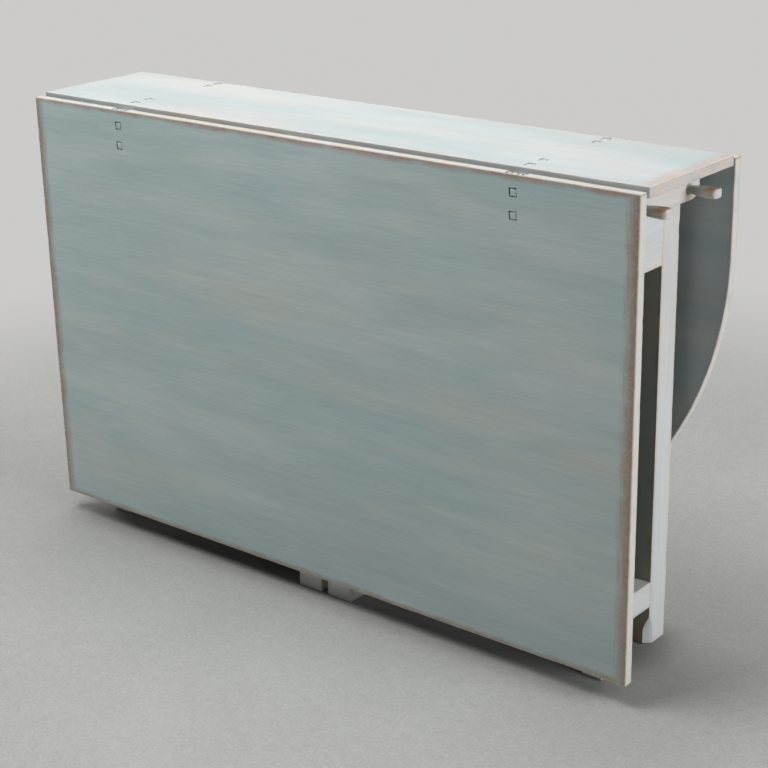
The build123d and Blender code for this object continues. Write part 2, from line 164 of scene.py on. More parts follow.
def make_board_edges():
    """For a thin board: how near a point of its broad faces is to the board's ends and sides, and where the narrow faces are.

    End and Side are 1 at the arris and 0 a band's width away; the band widens along Lean."""
    tree, n, i, o = group(
        "board_edges",
        [("Centre", V, (0, 0, 0)), ("Half", V, (1, 1, 1)), ("Along", V, (1, 0, 0)), ("Across", V, (0, 0, 1)),
         ("Through", V, (0, 1, 0)), ("Band", V, (10, 10, 10)), ("Lean", V, (0, 0, 0)), ("Wander", F, 1.0),
         ("LineWidth", F, 2.0), ("Faces", V, (1, 1, 0))],
        [("End", F), ("Side", F), ("Line", F), ("Narrow", F), ("Upper", F)],
    )
    p = n.add("ShaderNodeTexCoord").outputs["Object"]
    p = n.vec("SCALE", p, 1000.0)
    off = n.vec("SUBTRACT", p, i["Centre"])
    d = n.vec("SUBTRACT", i["Half"], n.vec("ABSOLUTE", off))
    wide = n.math("MULTIPLY", i["Wander"], n.math("ADD", n.dot(off, i["Lean"]), 1.0))
    du, dv, dt = n.dot(d, i["Along"]), n.dot(d, i["Across"]), n.dot(d, i["Through"])
    bu, bv, _ = n.xyz(i["Band"])
    fu, fv, _ = n.xyz(i["Faces"])
    broad = n.span(dt, 1.0, 2.2, 1.0, 0.0)
    end = n.math("SUBTRACT", 1.0, n.math("DIVIDE", du, n.math("MULTIPLY", bu, wide)), clamp=True)
    side = n.math("SUBTRACT", 1.0, n.math("DIVIDE", dv, n.math("MULTIPLY", bv, wide)), clamp=True)
    n.put(o["End"], n.math("MULTIPLY", end, broad))
    n.put(o["Side"], n.math("MULTIPLY", side, broad))
    near = [n.math("SUBTRACT", 1.0, n.math("DIVIDE", v, i["LineWidth"]), clamp=True) for v in (du, dv, dt)]
    n.put(o["Line"], n.math("MAXIMUM", n.math("MINIMUM", near[0], near[2]), n.math("MINIMUM", near[1], near[2])))
    slim = n.span(dt, 0.5, 1.6)
    nu = n.math("MULTIPLY", n.span(du, 1.2, 2.4, 1.0, 0.0), fu)
    nv = n.math("MULTIPLY", n.span(dv, 1.2, 2.4, 1.0, 0.0), fv)
    n.put(o["Narrow"], n.math("MULTIPLY", slim, n.math("MAXIMUM", nu, nv)))
    n.put(o["Upper"], n.math("MULTIPLY", n.math("MULTIPLY", n.span(dv, 2.2, 4.0, 1.0, 0.0), fv),
                             n.span(n.dot(off, i["Across"]), 0.0, 1.0)))
    return tree


def make_d_edges():
    """The same for the half-round leaf: flat across the top, straight shoulders, then a circular arc."""
    tree, n, i, o = group(
        "d_edges",
        [("Radius", F, 580.0), ("ArcZ", F, 604.5), ("Top", F, 744.5), ("MidY", F, 125.5), ("HalfT", F, 8.0),
         ("Band", F, 10.0), ("Wander", F, 1.0), ("LineWidth", F, 2.0)],
        [("Side", F), ("Line", F), ("Narrow", F), ("Upper", F)],
    )
    p = n.add("ShaderNodeTexCoord").outputs["Object"]
    x, y, z = n.xyz(n.vec("SCALE", p, 1000.0))
    below = n.math("MINIMUM", n.math("SUBTRACT", z, i["ArcZ"]), 0.0)
    r = n.math("SQRT", n.math("ADD", n.math("MULTIPLY", x, x), n.math("MULTIPLY", below, below)))
    out = n.math("MINIMUM", n.math("SUBTRACT", i["Radius"], r), n.math("SUBTRACT", i["Top"], z))
    dy = n.math("SUBTRACT", i["HalfT"], n.math("ABSOLUTE", n.math("SUBTRACT", y, i["MidY"])))
    band = n.math("MULTIPLY", i["Band"], i["Wander"])
    side = n.math("SUBTRACT", 1.0, n.math("DIVIDE", out, band), clamp=True)
    n.put(o["Side"], n.math("MULTIPLY", side, n.span(dy, 1.0, 2.2, 1.0, 0.0)))
    a = n.math("SUBTRACT", 1.0, n.math("DIVIDE", out, i["LineWidth"]), clamp=True)
    b = n.math("SUBTRACT", 1.0, n.math("DIVIDE", dy, i["LineWidth"]), clamp=True)
    n.put(o["Line"], n.math("MINIMUM", a, b))
    n.put(o["Narrow"], n.math("MULTIPLY", n.span(dy, 0.5, 1.6), n.span(out, 1.2, 2.4, 1.0, 0.0)))
    n.put(o["Upper"], n.span(n.math("SUBTRACT", i["Top"], z), 2.2, 4.0, 1.0, 0.0))
    return tree


# ================================================================ the paint itself
def make_paint():
    """Brushed, rubbed-back paint on softwood.

    Along, Across and Through are the board's own directions.  Rub and Line come
    from the arris groups; Wander goes back to them so that the worn band is uneven."""
    tree, n, i, o = group(
        "rubbed_paint",
        [("Along", V, (1, 0, 0)), ("Across", V, (0, 0, 1)), ("Through", V, (0, 1, 0)), ("Seed", V, (0, 0, 0)),
         ("Base", C, (0.5, 0.6, 0.61, 1)), ("Pale", C, (0.6, 0.66, 0.67, 1)), ("Warm", C, (0.6, 0.6, 0.57, 1)),
         ("Glaze", C, (0.44, 0.27, 0.22, 1)), ("Wood", C, (0.8, 0.7, 0.62, 1)),
         ("Edge", C, (0.8, 0.78, 0.75, 1)), ("Cloud", F, 1.0), ("Streak", F, 1.0), ("RubAmount", F, 0.7),
         ("LineAmount", F, 0.8), ("EndAmount", F, 0.8), ("SideAmount", F, 0.5), ("EdgeAmount", F, 0.9),
         ("Lean", V, (0, 0, 0)), ("Slope", V, (0, 0, 0)), ("Rub", F, 0.0), ("End", F, 0.0), ("Side", F, 0.0),
         ("Line", F, 0.0), ("Narrow", F, 0.0), ("Upper", F, 0.0)],
        [("Color", C), ("Roughness", F), ("Height", F), ("Wander", F)],
    )
    p = n.vec("SCALE", n.add("ShaderNodeTexCoord").outputs["Object"], 1000.0)
    lean = n.math("ADD", n.dot(p, i["Lean"]), 1.0, clamp=False)
    # painted light and shade: Slope tilts the tone in a straight line across the board, lighter where it is positive
    # and darker where it is negative
    light_slope = n.dot(p, i["Slope"])
    p = n.vec("ADD", p, i["Seed"])
    u, v, w = n.dot(p, i["Along"]), n.dot(p, i["Across"]), n.dot(p, i["Through"])

    def at(su, sv, sw, shift=0.0):
        return n.join(n.math("MULTIPLY_ADD", u, 1.0 / su, shift), n.math("MULTIPLY", v, 1.0 / sv),
                      n.math("MULTIPLY", w, 1.0 / sw))

    # laps of the brush: broad soft patches drawn out along the grain
    lap = n.noise(at(430, 78, 78), detail=3.0, rough=0.55, distort=0.12)
    lap2 = n.noise(at(250, 30, 30, 7.3), detail=3.0, rough=0.6, distort=0.1)
    warm = n.noise(at(480, 120, 120, 31.0), detail=2.5, rough=0.55)
    cool = n.noise(at(260, 130, 130, 67.0), detail=2.5, rough=0.5)
    pink = n.noise(at(300, 150, 150, 101.0), detail=2.5, rough=0.5)
    # separate strokes, then bristle marks
    stroke = n.noise(at(130, 5.2, 5.2, 3.1), detail=2.5, rough=0.6, distort=0.08)
    bristle = n.noise(at(46, 1.15, 1.15, 11.7), detail=2.0, rough=0.65)
    hair = n.noise(at(30, 0.42, 0.42, 5.9), detail=1.0, rough=0.5)

    colour = n.mix(n.math("MULTIPLY", n.span(lap, 0.36, 0.68), i["Cloud"]), i["Base"], i["Pale"])
    # painted light and shade also here: less warmth where Slope lightens, more where it darkens
    warmth = n.math("MULTIPLY_ADD", light_slope, -1.8, n.math("MULTIPLY", n.span(warm, 0.47, 0.70), 0.75), clamp=True)
    colour = n.mix(n.math("MULTIPLY", warmth, i["Cloud"]), colour, i["Warm"])
    colour = n.mix(n.math("MULTIPLY", n.span(cool, 0.47, 0.70, 0.0, 0.50), i["Cloud"]), colour,
                   n.vec("MULTIPLY", colour, (0.93, 0.97, 1.05)))
    colour = n.mix(n.math("MULTIPLY", n.span(pink, 0.48, 0.72, 0.0, 0.60), i["Cloud"]), colour,
                   n.vec("MULTIPLY", colour, (1.11, 1.015, 0.985)))
    tone = n.math("MULTIPLY_ADD", n.math("SUBTRACT", lap2, 0.5), n.math("MULTIPLY", i["Cloud"], 0.16), 1.0)
    tone = n.math("ADD", tone, light_slope)
    dry = n.noise(at(210, 2.3, 2.3, 13.0), detail=2.0, rough=0.55)
    dragged = n.math("MULTIPLY", n.span(dry, 0.56, 0.74), n.span(lap2, 0.42, 0.62))
    colour = n.mix(n.math("MULTIPLY", n.math("MULTIPLY", dragged, i["Streak"]), 0.30, clamp=True), colour,
                   n.vec("MULTIPLY", i["Warm"], (1.16, 1.10, 1.06)))
    s = n.math("ADD", n.math("MULTIPLY", n.math("SUBTRACT", stroke, 0.5), 0.16),
               n.math("ADD", n.math("MULTIPLY", n.math("SUBTRACT", bristle, 0.5), 0.12),
                      n.math("MULTIPLY", n.math("SUBTRACT", hair, 0.5), 0.05)))
    tone = n.math("MULTIPLY", tone, n.math("MULTIPLY_ADD", s, i["Streak"], 1.0))
    colour = n.shade(colour, tone)

    # the narrow faces of a board: pale, brushed crosswise
    brushed = n.noise(at(4.2, 26, 1.5, 77.0), detail=3.0, rough=0.6)
    soft = n.noise(at(40, 40, 14, 29.0), detail=2.0, rough=0.55)
    edge = n.mix(n.span(soft, 0.46, 0.62, 0.0, 0.8), i["Edge"], n.vec("MULTIPLY", i["Edge"], (1.0, 0.90, 0.83)))
    edge = n.shade(edge, n.math("MULTIPLY_ADD", n.math("SUBTRACT", brushed, 0.5), 0.30,
                                     n.math("MULTIPLY_ADD", n.math("SUBTRACT", soft, 0.5), 0.34, 1.0)))
    edge = n.mix(i["Upper"], edge, n.vec("MULTIPLY", edge, (0.72, 0.675, 0.635)))
    bare = n.math("MULTIPLY", i["Narrow"], n.math("MULTIPLY", i["EdgeAmount"], n.span(soft, 0.24, 0.52, 0.60, 1.05)),
                  clamp=True)
    colour = n.mix(bare, colour, edge)

    # rubbed through to the brown undercoat: a soft band that follows the arris, streaked the same way
    patchy = n.noise(at(38, 30, 30, 19.0), detail=3.0, rough=0.6, distort=0.3)
    along_end = n.noise(at(2.6, 70, 9, 23.0), detail=2.5, rough=0.6)
    along_side = n.noise(at(90, 2.6, 9, 37.0), detail=2.5, rough=0.6)
    ragged = n.math("MULTIPLY_ADD", n.math("SUBTRACT", patchy, 0.5), 0.55, 0.0)
    speck = n.noise(at(5.5, 5.5, 5.5, 61.0), detail=3.0, rough=0.7)

    def rubbed(reach, amount, streaks, low):
        reach = n.math("MULTIPLY", n.span(reach, 0.0, 0.32), n.math("ADD", reach, n.math(
            "MULTIPLY", n.math("MULTIPLY_ADD", n.math("SUBTRACT", streaks, 0.5), 0.95, ragged), n.span(reach, 1.0, 0.3))))
        cover = n.math("MULTIPLY", n.span(reach, 0.04, 1.02), n.span(speck, 0.34, 0.60, 0.80, 1.12))
        return n.math("MULTIPLY", n.math("MULTIPLY", cover, n.span(patchy, 0.26, 0.62, low, 1.0)),
                      n.math("MULTIPLY", amount, lean), clamp=True)

    rub = n.math("MAXIMUM", rubbed(i["End"], i["EndAmount"], along_end, 0.78),
                 rubbed(i["Side"], i["SideAmount"], along_side, 0.45))
    rub = n.math("MAXIMUM", rub, rubbed(i["Rub"], i["RubAmount"], bristle, 0.10))
    glaze = n.shade(i["Glaze"], n.math("MULTIPLY_ADD", n.math("SUBTRACT", bristle, 0.5), 0.5,
                                       n.math("MULTIPLY_ADD", n.math("SUBTRACT", patchy, 0.5), 0.7, 1.0)))
    colour = n.mix(rub, colour, glaze)

    # pale wood along the arris itself
    chip = n.noise(at(19, 19, 9, 43.0), detail=3.0, rough=0.6)
    line = n.math("MULTIPLY", n.span(n.math("MULTIPLY", i["Line"], n.span(chip, 0.22, 0.55, 0.55, 1.15)), 0.22, 0.60),
                  i["LineAmount"], clamp=True)
    wood = n.shade(i["Wood"], n.math("MULTIPLY_ADD", n.math("SUBTRACT", n.noise(at(12, 12, 2.1, 2.0), detail=2.0), 0.5),
                                     0.35, 1.0))
    wood = n.mix(i["Upper"], wood, n.vec("MULTIPLY", wood, (0.74, 0.73, 0.73)))
    colour = n.mix(line, colour, wood)

    # a few long hair scratches and small knocks
    skew = n.join(n.math("MULTIPLY_ADD", v, 0.0040, n.math("MULTIPLY", u, 0.0016)),
                  n.math("MULTIPLY_ADD", u, 0.031, n.math("MULTIPLY", v, -0.011)), n.math("MULTIPLY", w, 0.01))
    cell = n.voronoi(skew, feature="DISTANCE_TO_EDGE")
    gate = n.span(n.noise(at(75, 48, 48, 57.0), detail=1.0), 0.60, 0.68)
    scratch = n.math("MULTIPLY", n.math("MULTIPLY", n.span(cell, 0.0035, 0.011, 1.0, 0.0), gate), 0.42)
    knock = n.math("MULTIPLY", n.span(n.voronoi(at(64, 52, 52, 3.0)), 0.018, 0.034, 1.0, 0.0),
                   n.span(n.noise(at(40, 40, 40, 88.0)), 0.52, 0.60))
    colour = n.mix(scratch, colour, n.shade(i["Wood"], 0.92))
    colour = n.mix(n.math("MULTIPLY", knock, 0.5), colour, i["Glaze"])

    rough = n.math("MULTIPLY_ADD", n.math("SUBTRACT", stroke, 0.5), 0.22,
                   n.math("MULTIPLY_ADD", n.math("SUBTRACT", lap, 0.5), 0.16, 0.50))
    rough = n.math("MULTIPLY_ADD", rub, 0.14, n.math("MULTIPLY_ADD", line, 0.12, rough), clamp=True)

    high = n.math("MULTIPLY", stroke, 0.55)
    high = n.math("MULTIPLY_ADD", bristle, 0.34, high)
    high = n.math("MULTIPLY_ADD", hair, 0.10, high)
    high = n.math("MULTIPLY_ADD", rub, -0.35, high)
    high = n.math("MULTIPLY_ADD", line, -0.55, high)
    high = n.math("MULTIPLY_ADD", scratch, -0.7, high)
    high = n.math("MULTIPLY_ADD", knock, -1.6, high)

    wander = n.span(n.noise(at(150, 110, 110, 71.0), detail=2.0, rough=0.6), 0.30, 0.72, 0.45, 1.9)
    n.put(o["Color"], colour)
    n.put(o["Roughness"], rough)
    n.put(o["Height"], high)
    n.put(o["Wander"], wander)
    return tree


BOX_EDGES, BOARD_EDGES, D_EDGES, PAINT = make_box_edges(), make_board_edges(), make_d_edges(), make_paint()
AXES = (Vector((1, 0, 0)), Vector((0, 1, 0)), Vector((0, 0, 1)))


def finish_shader(n, colour, rough, height, lift=0.00006, strength=0.6, specular=0.5, coat=0.0, metallic=None):
    bump = n.add("ShaderNodeBump", {"Strength": strength, "Distance": lift, "Height": height})
    s = n.add("ShaderNodeBsdfPrincipled", {"Base Color": colour, "Roughness": rough, "Normal": bump.outputs[0],
                                           "Specular IOR Level": specular, "Coat Weight": coat})
    if metallic is not None:
        n.put(s.inputs["Metallic"], metallic)
    out = n.add("ShaderNodeOutputMaterial")
    n.tree.links.new(s.outputs[0], out.inputs[0])


def new_material(name):
    m = bpy.data.materials.new(name)
    m.use_nodes = True
    m.node_tree.nodes.clear()
    return m, Net(m.node_tree)


def directions(lo, hi, along=None):
    size = [hi[k] - lo[k] for k in range(3)]
    order = sorted(range(3), key=lambda k: -size[k])
    if along is not None:
        order.remove(along)
        order.insert(0, along)
    return [AXES[k] for k in order]


def painted(name, lo, hi, seed, look, along=None, band=(12, 12, 12), line=2.2, shape="box", faces=(1, 1, 0),
            widen=(0, 0, 0)):
    """Paint for one board whose box runs from lo to hi, in metres."""
    m, n = new_material(name)
    a, c, t = directions(lo, hi, along)
    paint = n.add("ShaderNodeGroup", node_tree=PAINT)
    if shape == "box":
        edges = n.add("ShaderNodeGroup", node_tree=BOX_EDGES)
        n.put(edges.inputs["Centre"], (Vector(lo) + Vector(hi)) * 500.0)
        n.put(edges.inputs["Half"], (Vector(hi) - Vector(lo)) * 500.0)
        n.put(edges.inputs["Band"], Vector(band))
    elif shape == "board":
        edges = n.add("ShaderNodeGroup", node_tree=BOARD_EDGES)
        n.put(edges.inputs["Centre"], (Vector(lo) + Vector(hi)) * 500.0)
        n.put(edges.inputs["Half"], (Vector(hi) - Vector(lo)) * 500.0)
        n.put(edges.inputs["Band"], Vector(band))
        n.put(edges.inputs["Faces"], Vector(faces))
        n.put(edges.inputs["Lean"], Vector(widen))
        for key, value in (("Along", a), ("Across", c), ("Through", t)):
            n.put(edges.inputs[key], value)
    else:
        edges = n.add("ShaderNodeGroup", node_tree=D_EDGES)
        n.put(edges.inputs["Band"], float(band[0]))
        n.put(edges.inputs["Radius"], (hi[0] - lo[0]) * 500.0)
        n.put(edges.inputs["ArcZ"], lo[2] * 1000.0 + (hi[0] - lo[0]) * 500.0)
        n.put(edges.inputs["Top"], hi[2] * 1000.0)
        n.put(edges.inputs["MidY"], (hi[1] + lo[1]) * 500.0)
        n.put(edges.inputs["HalfT"], (hi[1] - lo[1]) * 500.0)
    n.put(edges.inputs["LineWidth"], line)
    n.put(edges.inputs["Wander"], paint.outputs["Wander"])
    for socket in edges.outputs:
        n.put(paint.inputs[socket.name], socket)
    n.put(paint.inputs["Along"], a)
    n.put(paint.inputs["Across"], c)
    n.put(paint.inputs["Through"], t)
    n.put(paint.inputs["Seed"], Vector((seed * 137.0, seed * 71.0, seed * 29.0)))
    for key, value in look.items():
        n.put(paint.inputs[key], value)
    finish_shader(n, paint.outputs["Color"], paint.outputs["Roughness"], paint.outputs["Height"])
    return m



# ================================================================ board geometry, in millimetres
def wavy(p, scale, shift=0.0):
    return noise.noise(Vector((p[0] / scale + shift, p[1] / scale - shift, p[2] / scale + 2.0 * shift)))


def wear_down(co, nrm, edge, seed, amount=1.0, flat=0.10):
    """Takes a little off a board: softened, uneven arrises with a few knocks, and faces that aren't dead flat.

    Everything goes inwards, so the piece stays inside its CAD solid."""
    out = []
    for p, d, e in zip(co, nrm, edge):
        cut = flat * (0.5 + 0.5 * wavy(p, 95.0, seed))
        if e > 0.02:
            cut += amount * e * (0.12 + 0.42 * max(0.0, wavy(p, 42.0, seed + 3.1) + 0.15)
                                 + 0.26 * max(0.0, wavy(p, 11.0, seed + 7.7)))
            cut += amount * math.sqrt(e) * 2.6 * max(0.0, wavy(p, 17.0, seed + 13.3) - 0.42)
        out.append((p[0] - d[0] * cut, p[1] - d[1] * cut, p[2] - d[2] * cut))
    return out


def spaced(a, b, r, step):
    """Grid lines from a to b, close together across a rounded arris."""
    head = [0.0, 0.586 * r, r]
    if b - a > 2 * r + 11:
        head += [r + 1.5, r + 4.0]
    start, end = a + head[-1], b - head[-1]
    count = max(1, round((end - start) / step))
    middle = [start + (end - start) * k / count for k in range(1, count)]
    return [a + h for h in head] + middle + [b - h for h in reversed(head)]


def slab(lo, hi, r, step):
    """A board with rounded arrises as one clean grid of quads: points, outward directions, nearness to an arris, faces."""
    grid = [spaced(lo[k], hi[k], r, step[k]) for k in range(3)]
    last = [len(g) - 1 for g in grid]
    index, co, nrm, edge, faces = {}, [], [], [], []

    def point(key):
        if key not in index:
            p = [grid[k][key[k]] for k in range(3)]
            q = [min(max(p[k], lo[k] + r), hi[k] - r) for k in range(3)]
            d = Vector([p[k] - q[k] for k in range(3)]).normalized()
            near = sorted(min(p[k] - lo[k], hi[k] - p[k]) for k in range(3))[1]
            index[key] = len(co)
            co.append([q[k] + r * d[k] for k in range(3)])
            nrm.append(d)
            edge.append(math.exp(-((near / (1.2 * r + 0.8)) ** 2)))
        return index[key]

    for k in range(3):
        u, v = (k + 1) % 3, (k + 2) % 3
        for side in (0, last[k]):
            for a in range(last[u]):
                for b in range(last[v]):
                    quad = []
                    for da, db in ((0, 0), (1, 0), (1, 1), (0, 1)):
                        key = [0, 0, 0]
                        key[k], key[u], key[v] = side, a + da, b + db
                        quad.append(point(tuple(key)))
                    faces.append(quad if side else quad[::-1])
    return co, nrm, edge, faces


def inside(points, loops):
    """Which 2D points lie inside the loops, holes left out."""
    pts = np.array(points)
    hit = np.zeros(len(pts), bool)
    for loop in loops:
        a = np.array(loop)
        b = np.roll(a, -1, 0)
        for (x0, y0), (x1, y1) in zip(a, b):
            if y0 == y1:
                continue
            cross = (y0 > pts[:, 1]) != (y1 > pts[:, 1])
            hit ^= cross & (pts[:, 0] < (x1 - x0) * (pts[:, 1] - y0) / (y1 - y0) + x0)
    return hit


def divide(points, step):
    """A closed loop with points no further apart than step."""
    out = []
    for a, b in zip(points, points[1:] + points[:1]):
        length = math.dist(a, b)
        count = max(1, math.ceil(length / step - 1e-6))
        out += [(a[0] + (b[0] - a[0]) * k / count, a[1] + (b[1] - a[1]) * k / count) for k in range(count)]
    return out


def mitres(loop):
    """Outward directions of a loop's points; at a corner the length reaches the mitre."""
    out = []
    for k, p in enumerate(loop):
        a, b = Vector(loop[k - 1]), Vector(loop[(k + 1) % len(loop)])
        d0, d1 = (Vector(p) - a).normalized(), (b - Vector(p)).normalized()
        n0, n1 = Vector((d0.y, -d0.x)), Vector((d1.y, -d1.x))
        m = (n0 + n1).normalized()
        out.append(m / max(0.5, m.dot(n0)))
    return out


def plate(loops, k, a, b, r, step, lattice, inset=4.0):
    """A flat piece cut to an outline, with rounded arrises.  loops are in the two other axes, in the order u, v = k+1, k+2,
    outline anticlockwise and holes clockwise; it runs from a to b along axis k."""
    u, v = (k + 1) % 3, (k + 2) % 3
    co, nrm, edge, faces = [], [], [], []
    turn = [(math.sin(t) * 1.0, math.cos(t) * 1.0) for t in (math.radians(d) for d in (0, 22.5, 45, 67.5, 90))]
    rings = [(r + inset, 0.0, 0.0, 0.0), (r + 1.4, 0.0, 0.0, 0.15)]
    rings += [(r * (1 - s), r * (1 - c), s, w) for (s, c), w in zip(turn, (0.5, 0.8, 1.0, 0.8, 0.5))]
    count = max(1, round((b - a - 2 * r) / step))
    rings_b = [(ins, b - a - dep, s, w) for ins, dep, s, w in reversed(rings)]
    mid = [(0.0, r + (b - a - 2 * r) * j / count, 1.0, 0.0) for j in range(1, count)]
    rows = rings + mid + rings_b
    starts, borders = [], []
    for loop in loops:
        loop = divide(loop, step)
        mit = mitres(loop)
        first = len(co)
        starts.append((first, len(loop)))
        for ins, dep, s, w in rows:
            face = -1 if dep < (b - a) / 2 else 1
            c = math.sqrt(max(0.0, 1 - s * s))
            for p, m in zip(loop, mit):
                q = [0.0] * 3
                q[k], q[u], q[v] = a + dep, p[0] - ins * m.x, p[1] - ins * m.y
                d = [0.0] * 3
                n2 = m.normalized()
                d[k], d[u], d[v] = face * c, s * n2.x, s * n2.y
                co.append(q)
                nrm.append(Vector(d))
                edge.append(w)
        size = len(loop)
        for row in range(len(rows) - 1):
            for j in range(size):
                i0, i1 = first + row * size + j, first + row * size + (j + 1) % size
                faces.append([i1, i0, i0 + size, i1 + size])
        borders.append([(p[0] - rings[0][0] * m.x, p[1] - rings[0][0] * m.y) for p, m in zip(loop, mit)])
    # lattice points well inside the inner border
    pts = np.array([p for bd in borders for p in bd])
    lo2, hi2 = pts.min(0), pts.max(0)
    nx, ny = (max(1, round((hi2[j] - lo2[j]) / lattice)) for j in (0, 1))
    lat = [(lo2[0] + (hi2[0] - lo2[0]) * i / nx, lo2[1] + (hi2[1] - lo2[1]) * j / ny)
           for i in range(1, nx) for j in range(1, ny)]
    if lat:
        keep = inside(lat, borders)
        arr = np.array(lat)
        far = np.full(len(arr), 1e9)
        for p in pts:
            far = np.minimum(far, np.hypot(arr[:, 0] - p[0], arr[:, 1] - p[1]))
        keep &= far > 0.55 * min(lattice, step)
        lat = [tuple(p) for p in arr[keep]]
    verts = [Vector(p) for bd in borders for p in bd] + [Vector(p) for p in lat]
    edges, base = [], 0
    for bd in borders:
        edges += [(base + j, base + (j + 1) % len(bd)) for j in range(len(bd))]
        base += len(bd)
    nv, _, nf, origin, _, _ = geometry.delaunay_2d_cdt(verts, edges, [], 0, 1e-5)
    centres = [(sum(nv[j].x for j in f) / 3, sum(nv[j].y for j in f) / 3) for f in nf]
    good = inside(centres, borders)
    for level, which in ((0.0, 0), (b - a, 1)):
        ids = {}
        offset = 0
        known = {}
        for (first, size), bd in zip(starts, borders):
            row = 0 if which == 0 else len(rows) - 1
            for j in range(size):
                known[offset + j] = first + row * size + j
            offset += size
        for new, (p, came) in enumerate(zip(nv, origin)):
            hit = [c for c in came if c in known]
            if hit:
                ids[new] = known[hit[0]]
            else:
                q, d = [0.0] * 3, [0.0] * 3
                q[k], q[u], q[v] = a + level, p.x, p.y
                d[k] = -1.0 if which == 0 else 1.0
                ids[new] = len(co)
                co.append(q)
                nrm.append(Vector(d))
                edge.append(0.0)
        for f, ok in zip(nf, good):
            if ok:
                tri = [ids[j] for j in f]
                if len(set(tri)) == 3:
                    faces.append(tri if which else tri[::-1])
    return co, nrm, edge, faces


def loft(stations, caps=True):
    """Rings of equal count, one after another, closed at both ends."""
    co, faces = [], []
    size = len(stations[0])
    for ring in stations:
        co += [tuple(p) for p in ring]
    for row in range(len(stations) - 1):
        for j in range(size):
            a, b = row * size + j, row * size + (j + 1) % size
            faces.append([a, b, b + size, a + size])
    if caps:
        for row, flip in ((0, True), (len(stations) - 1, False)):
            centre = [sum(p[k] for p in stations[row]) / size for k in range(3)]
            co.append(tuple(centre))
            c = len(co) - 1
            for j in range(size):
                tri = [row * size + j, row * size + (j + 1) % size, c]
                faces.append(tri[::-1] if flip else tri)
    return co, faces


def to_object(name, co, faces, material, sharp=38.0):
    mesh = bpy.data.meshes.new(name)
    mesh.from_pydata([[c * MM for c in p] for p in co], [], faces)
    mesh.update()
    bm = bmesh.new()
    bm.from_mesh(mesh)
    bmesh.ops.recalc_face_normals(bm, faces=bm.faces)
    bm.to_mesh(mesh)
    bm.free()
    mesh.polygons.foreach_set("use_smooth", [True] * len(mesh.polygons))
    mesh.set_sharp_from_angle(angle=math.radians(sharp))
    if material is not None:
        mesh.materials.append(material)
    o = bpy.data.objects.new(name, mesh)
    bpy.context.scene.collection.objects.link(o)
    return o


def brick(lo, hi, turn=0.0, k=2):
    """Corners and faces of a cutter, turned by a few degrees about axis k."""
    c = [(lo[j] + hi[j]) / 2 for j in range(3)]
    rot = Matrix.Rotation(math.radians(turn), 3, AXES[k])
    co = [[hi[j] if (n >> j) & 1 else lo[j] for j in range(3)] for n in range(8)]
    co = [list(Vector(c) + rot @ (Vector(p) - Vector(c))) for p in co]
    return co, [[0, 2, 3, 1], [4, 5, 7, 6], [0, 1, 5, 4], [2, 6, 7, 3], [0, 4, 6, 2], [1, 3, 7, 5]]


def cylinder(start, k, length, radius, count=40):
    u, v = (k + 1) % 3, (k + 2) % 3
    rings = []
    for t in (0.0, length):
        ring = []
        for j in range(count):
            p = list(start)
            p[k] += t
            p[u] += radius * math.cos(j * math.tau / count)
            p[v] += radius * math.sin(j * math.tau / count)
            ring.append(p)
        rings.append(ring)
    return loft(rings)


def cut(o, cutters, material):
    """Takes the cutters out of o and leaves its new faces in the given material."""
    made = []
    for co, faces in cutters:
        c = to_object("cutter", co, faces, material)
        made.append(c)
        b = o.modifiers.new("cut", "BOOLEAN")
        b.operation = "DIFFERENCE"
        b.solver = "EXACT"
        b.object = c
        b.material_mode = "TRANSFER"
    dg = bpy.context.evaluated_depsgraph_get()
    mesh = bpy.data.meshes.new_from_object(o.evaluated_get(dg), preserve_all_data_layers=True, depsgraph=dg)
    o.modifiers.clear()
    old = o.data
    o.data = mesh
    bpy.data.meshes.remove(old)
    for c in made:
        bpy.data.objects.remove(c)
    mesh.set_sharp_from_angle(angle=math.radians(38.0))
    return o


def stand(o, body, slot, *nodes):
    """o takes the place of these CAD nodes and moves with their body."""
    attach(o, body)
    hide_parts(*nodes)
    return o


def mm_box(node):
    lo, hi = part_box(node)
    return [c * 1000.0 for c in lo], [c * 1000.0 for c in hi]


# ================================================================ finishes
CREAM, PINK = (0.870, 0.870, 0.845), (0.800, 0.745, 0.725)
# the front leaf's Slope paints light and shade on it: lighter and cooler towards its top and left, darker and warmer
# towards its foot and right
LEAF = dict(Base=(0.535, 0.678, 0.682), Pale=(0.636, 0.744, 0.736), Warm=(0.664, 0.710, 0.680), Edge=CREAM,
            Glaze=(0.470, 0.325, 0.255), Wood=(0.860, 0.770, 0.700), EndAmount=0.98, SideAmount=0.92, LineAmount=0.85,
            Streak=1.35, Lean=(0.00012, 0, 0), Slope=(-0.00016, 0, 0.00033))
TOP = dict(Base=(0.545, 0.612, 0.610), Pale=(0.618, 0.655, 0.650), Warm=(0.655, 0.648, 0.620), Edge=PINK,
           Glaze=(0.560, 0.435, 0.385), Wood=(0.860, 0.790, 0.740), EndAmount=0.62, SideAmount=0.34, LineAmount=0.75,
           Lean=(0.0006, 0, 0), Slope=(0, 0, 0))
FRAME = dict(Base=(0.765, 0.815, 0.828), Pale=(0.845, 0.855, 0.850), Warm=(0.865, 0.835, 0.785), Edge=CREAM,
             Glaze=(0.740, 0.590, 0.490), Wood=(0.890, 0.845, 0.790), RubAmount=0.42, LineAmount=0.50, Streak=1.2)
FRAME_IN = dict(Base=(0.332, 0.350, 0.315), Pale=(0.385, 0.398, 0.362), Warm=(0.370, 0.340, 0.270), RubAmount=0.75,
                Glaze=(0.420, 0.250, 0.110), Wood=(0.500, 0.420, 0.320), LineAmount=0.3)
BATTEN = dict(Base=(0.800, 0.775, 0.760), Pale=(0.840, 0.820, 0.810), Warm=(0.830, 0.745, 0.680), RubAmount=0.45,
              Glaze=(0.600, 0.470, 0.410), LineAmount=0.55, Streak=1.7)
INNER = dict(Base=(0.290, 0.305, 0.290), Pale=(0.330, 0.338, 0.318), Warm=(0.350, 0.335, 0.295), RubAmount=0.35)
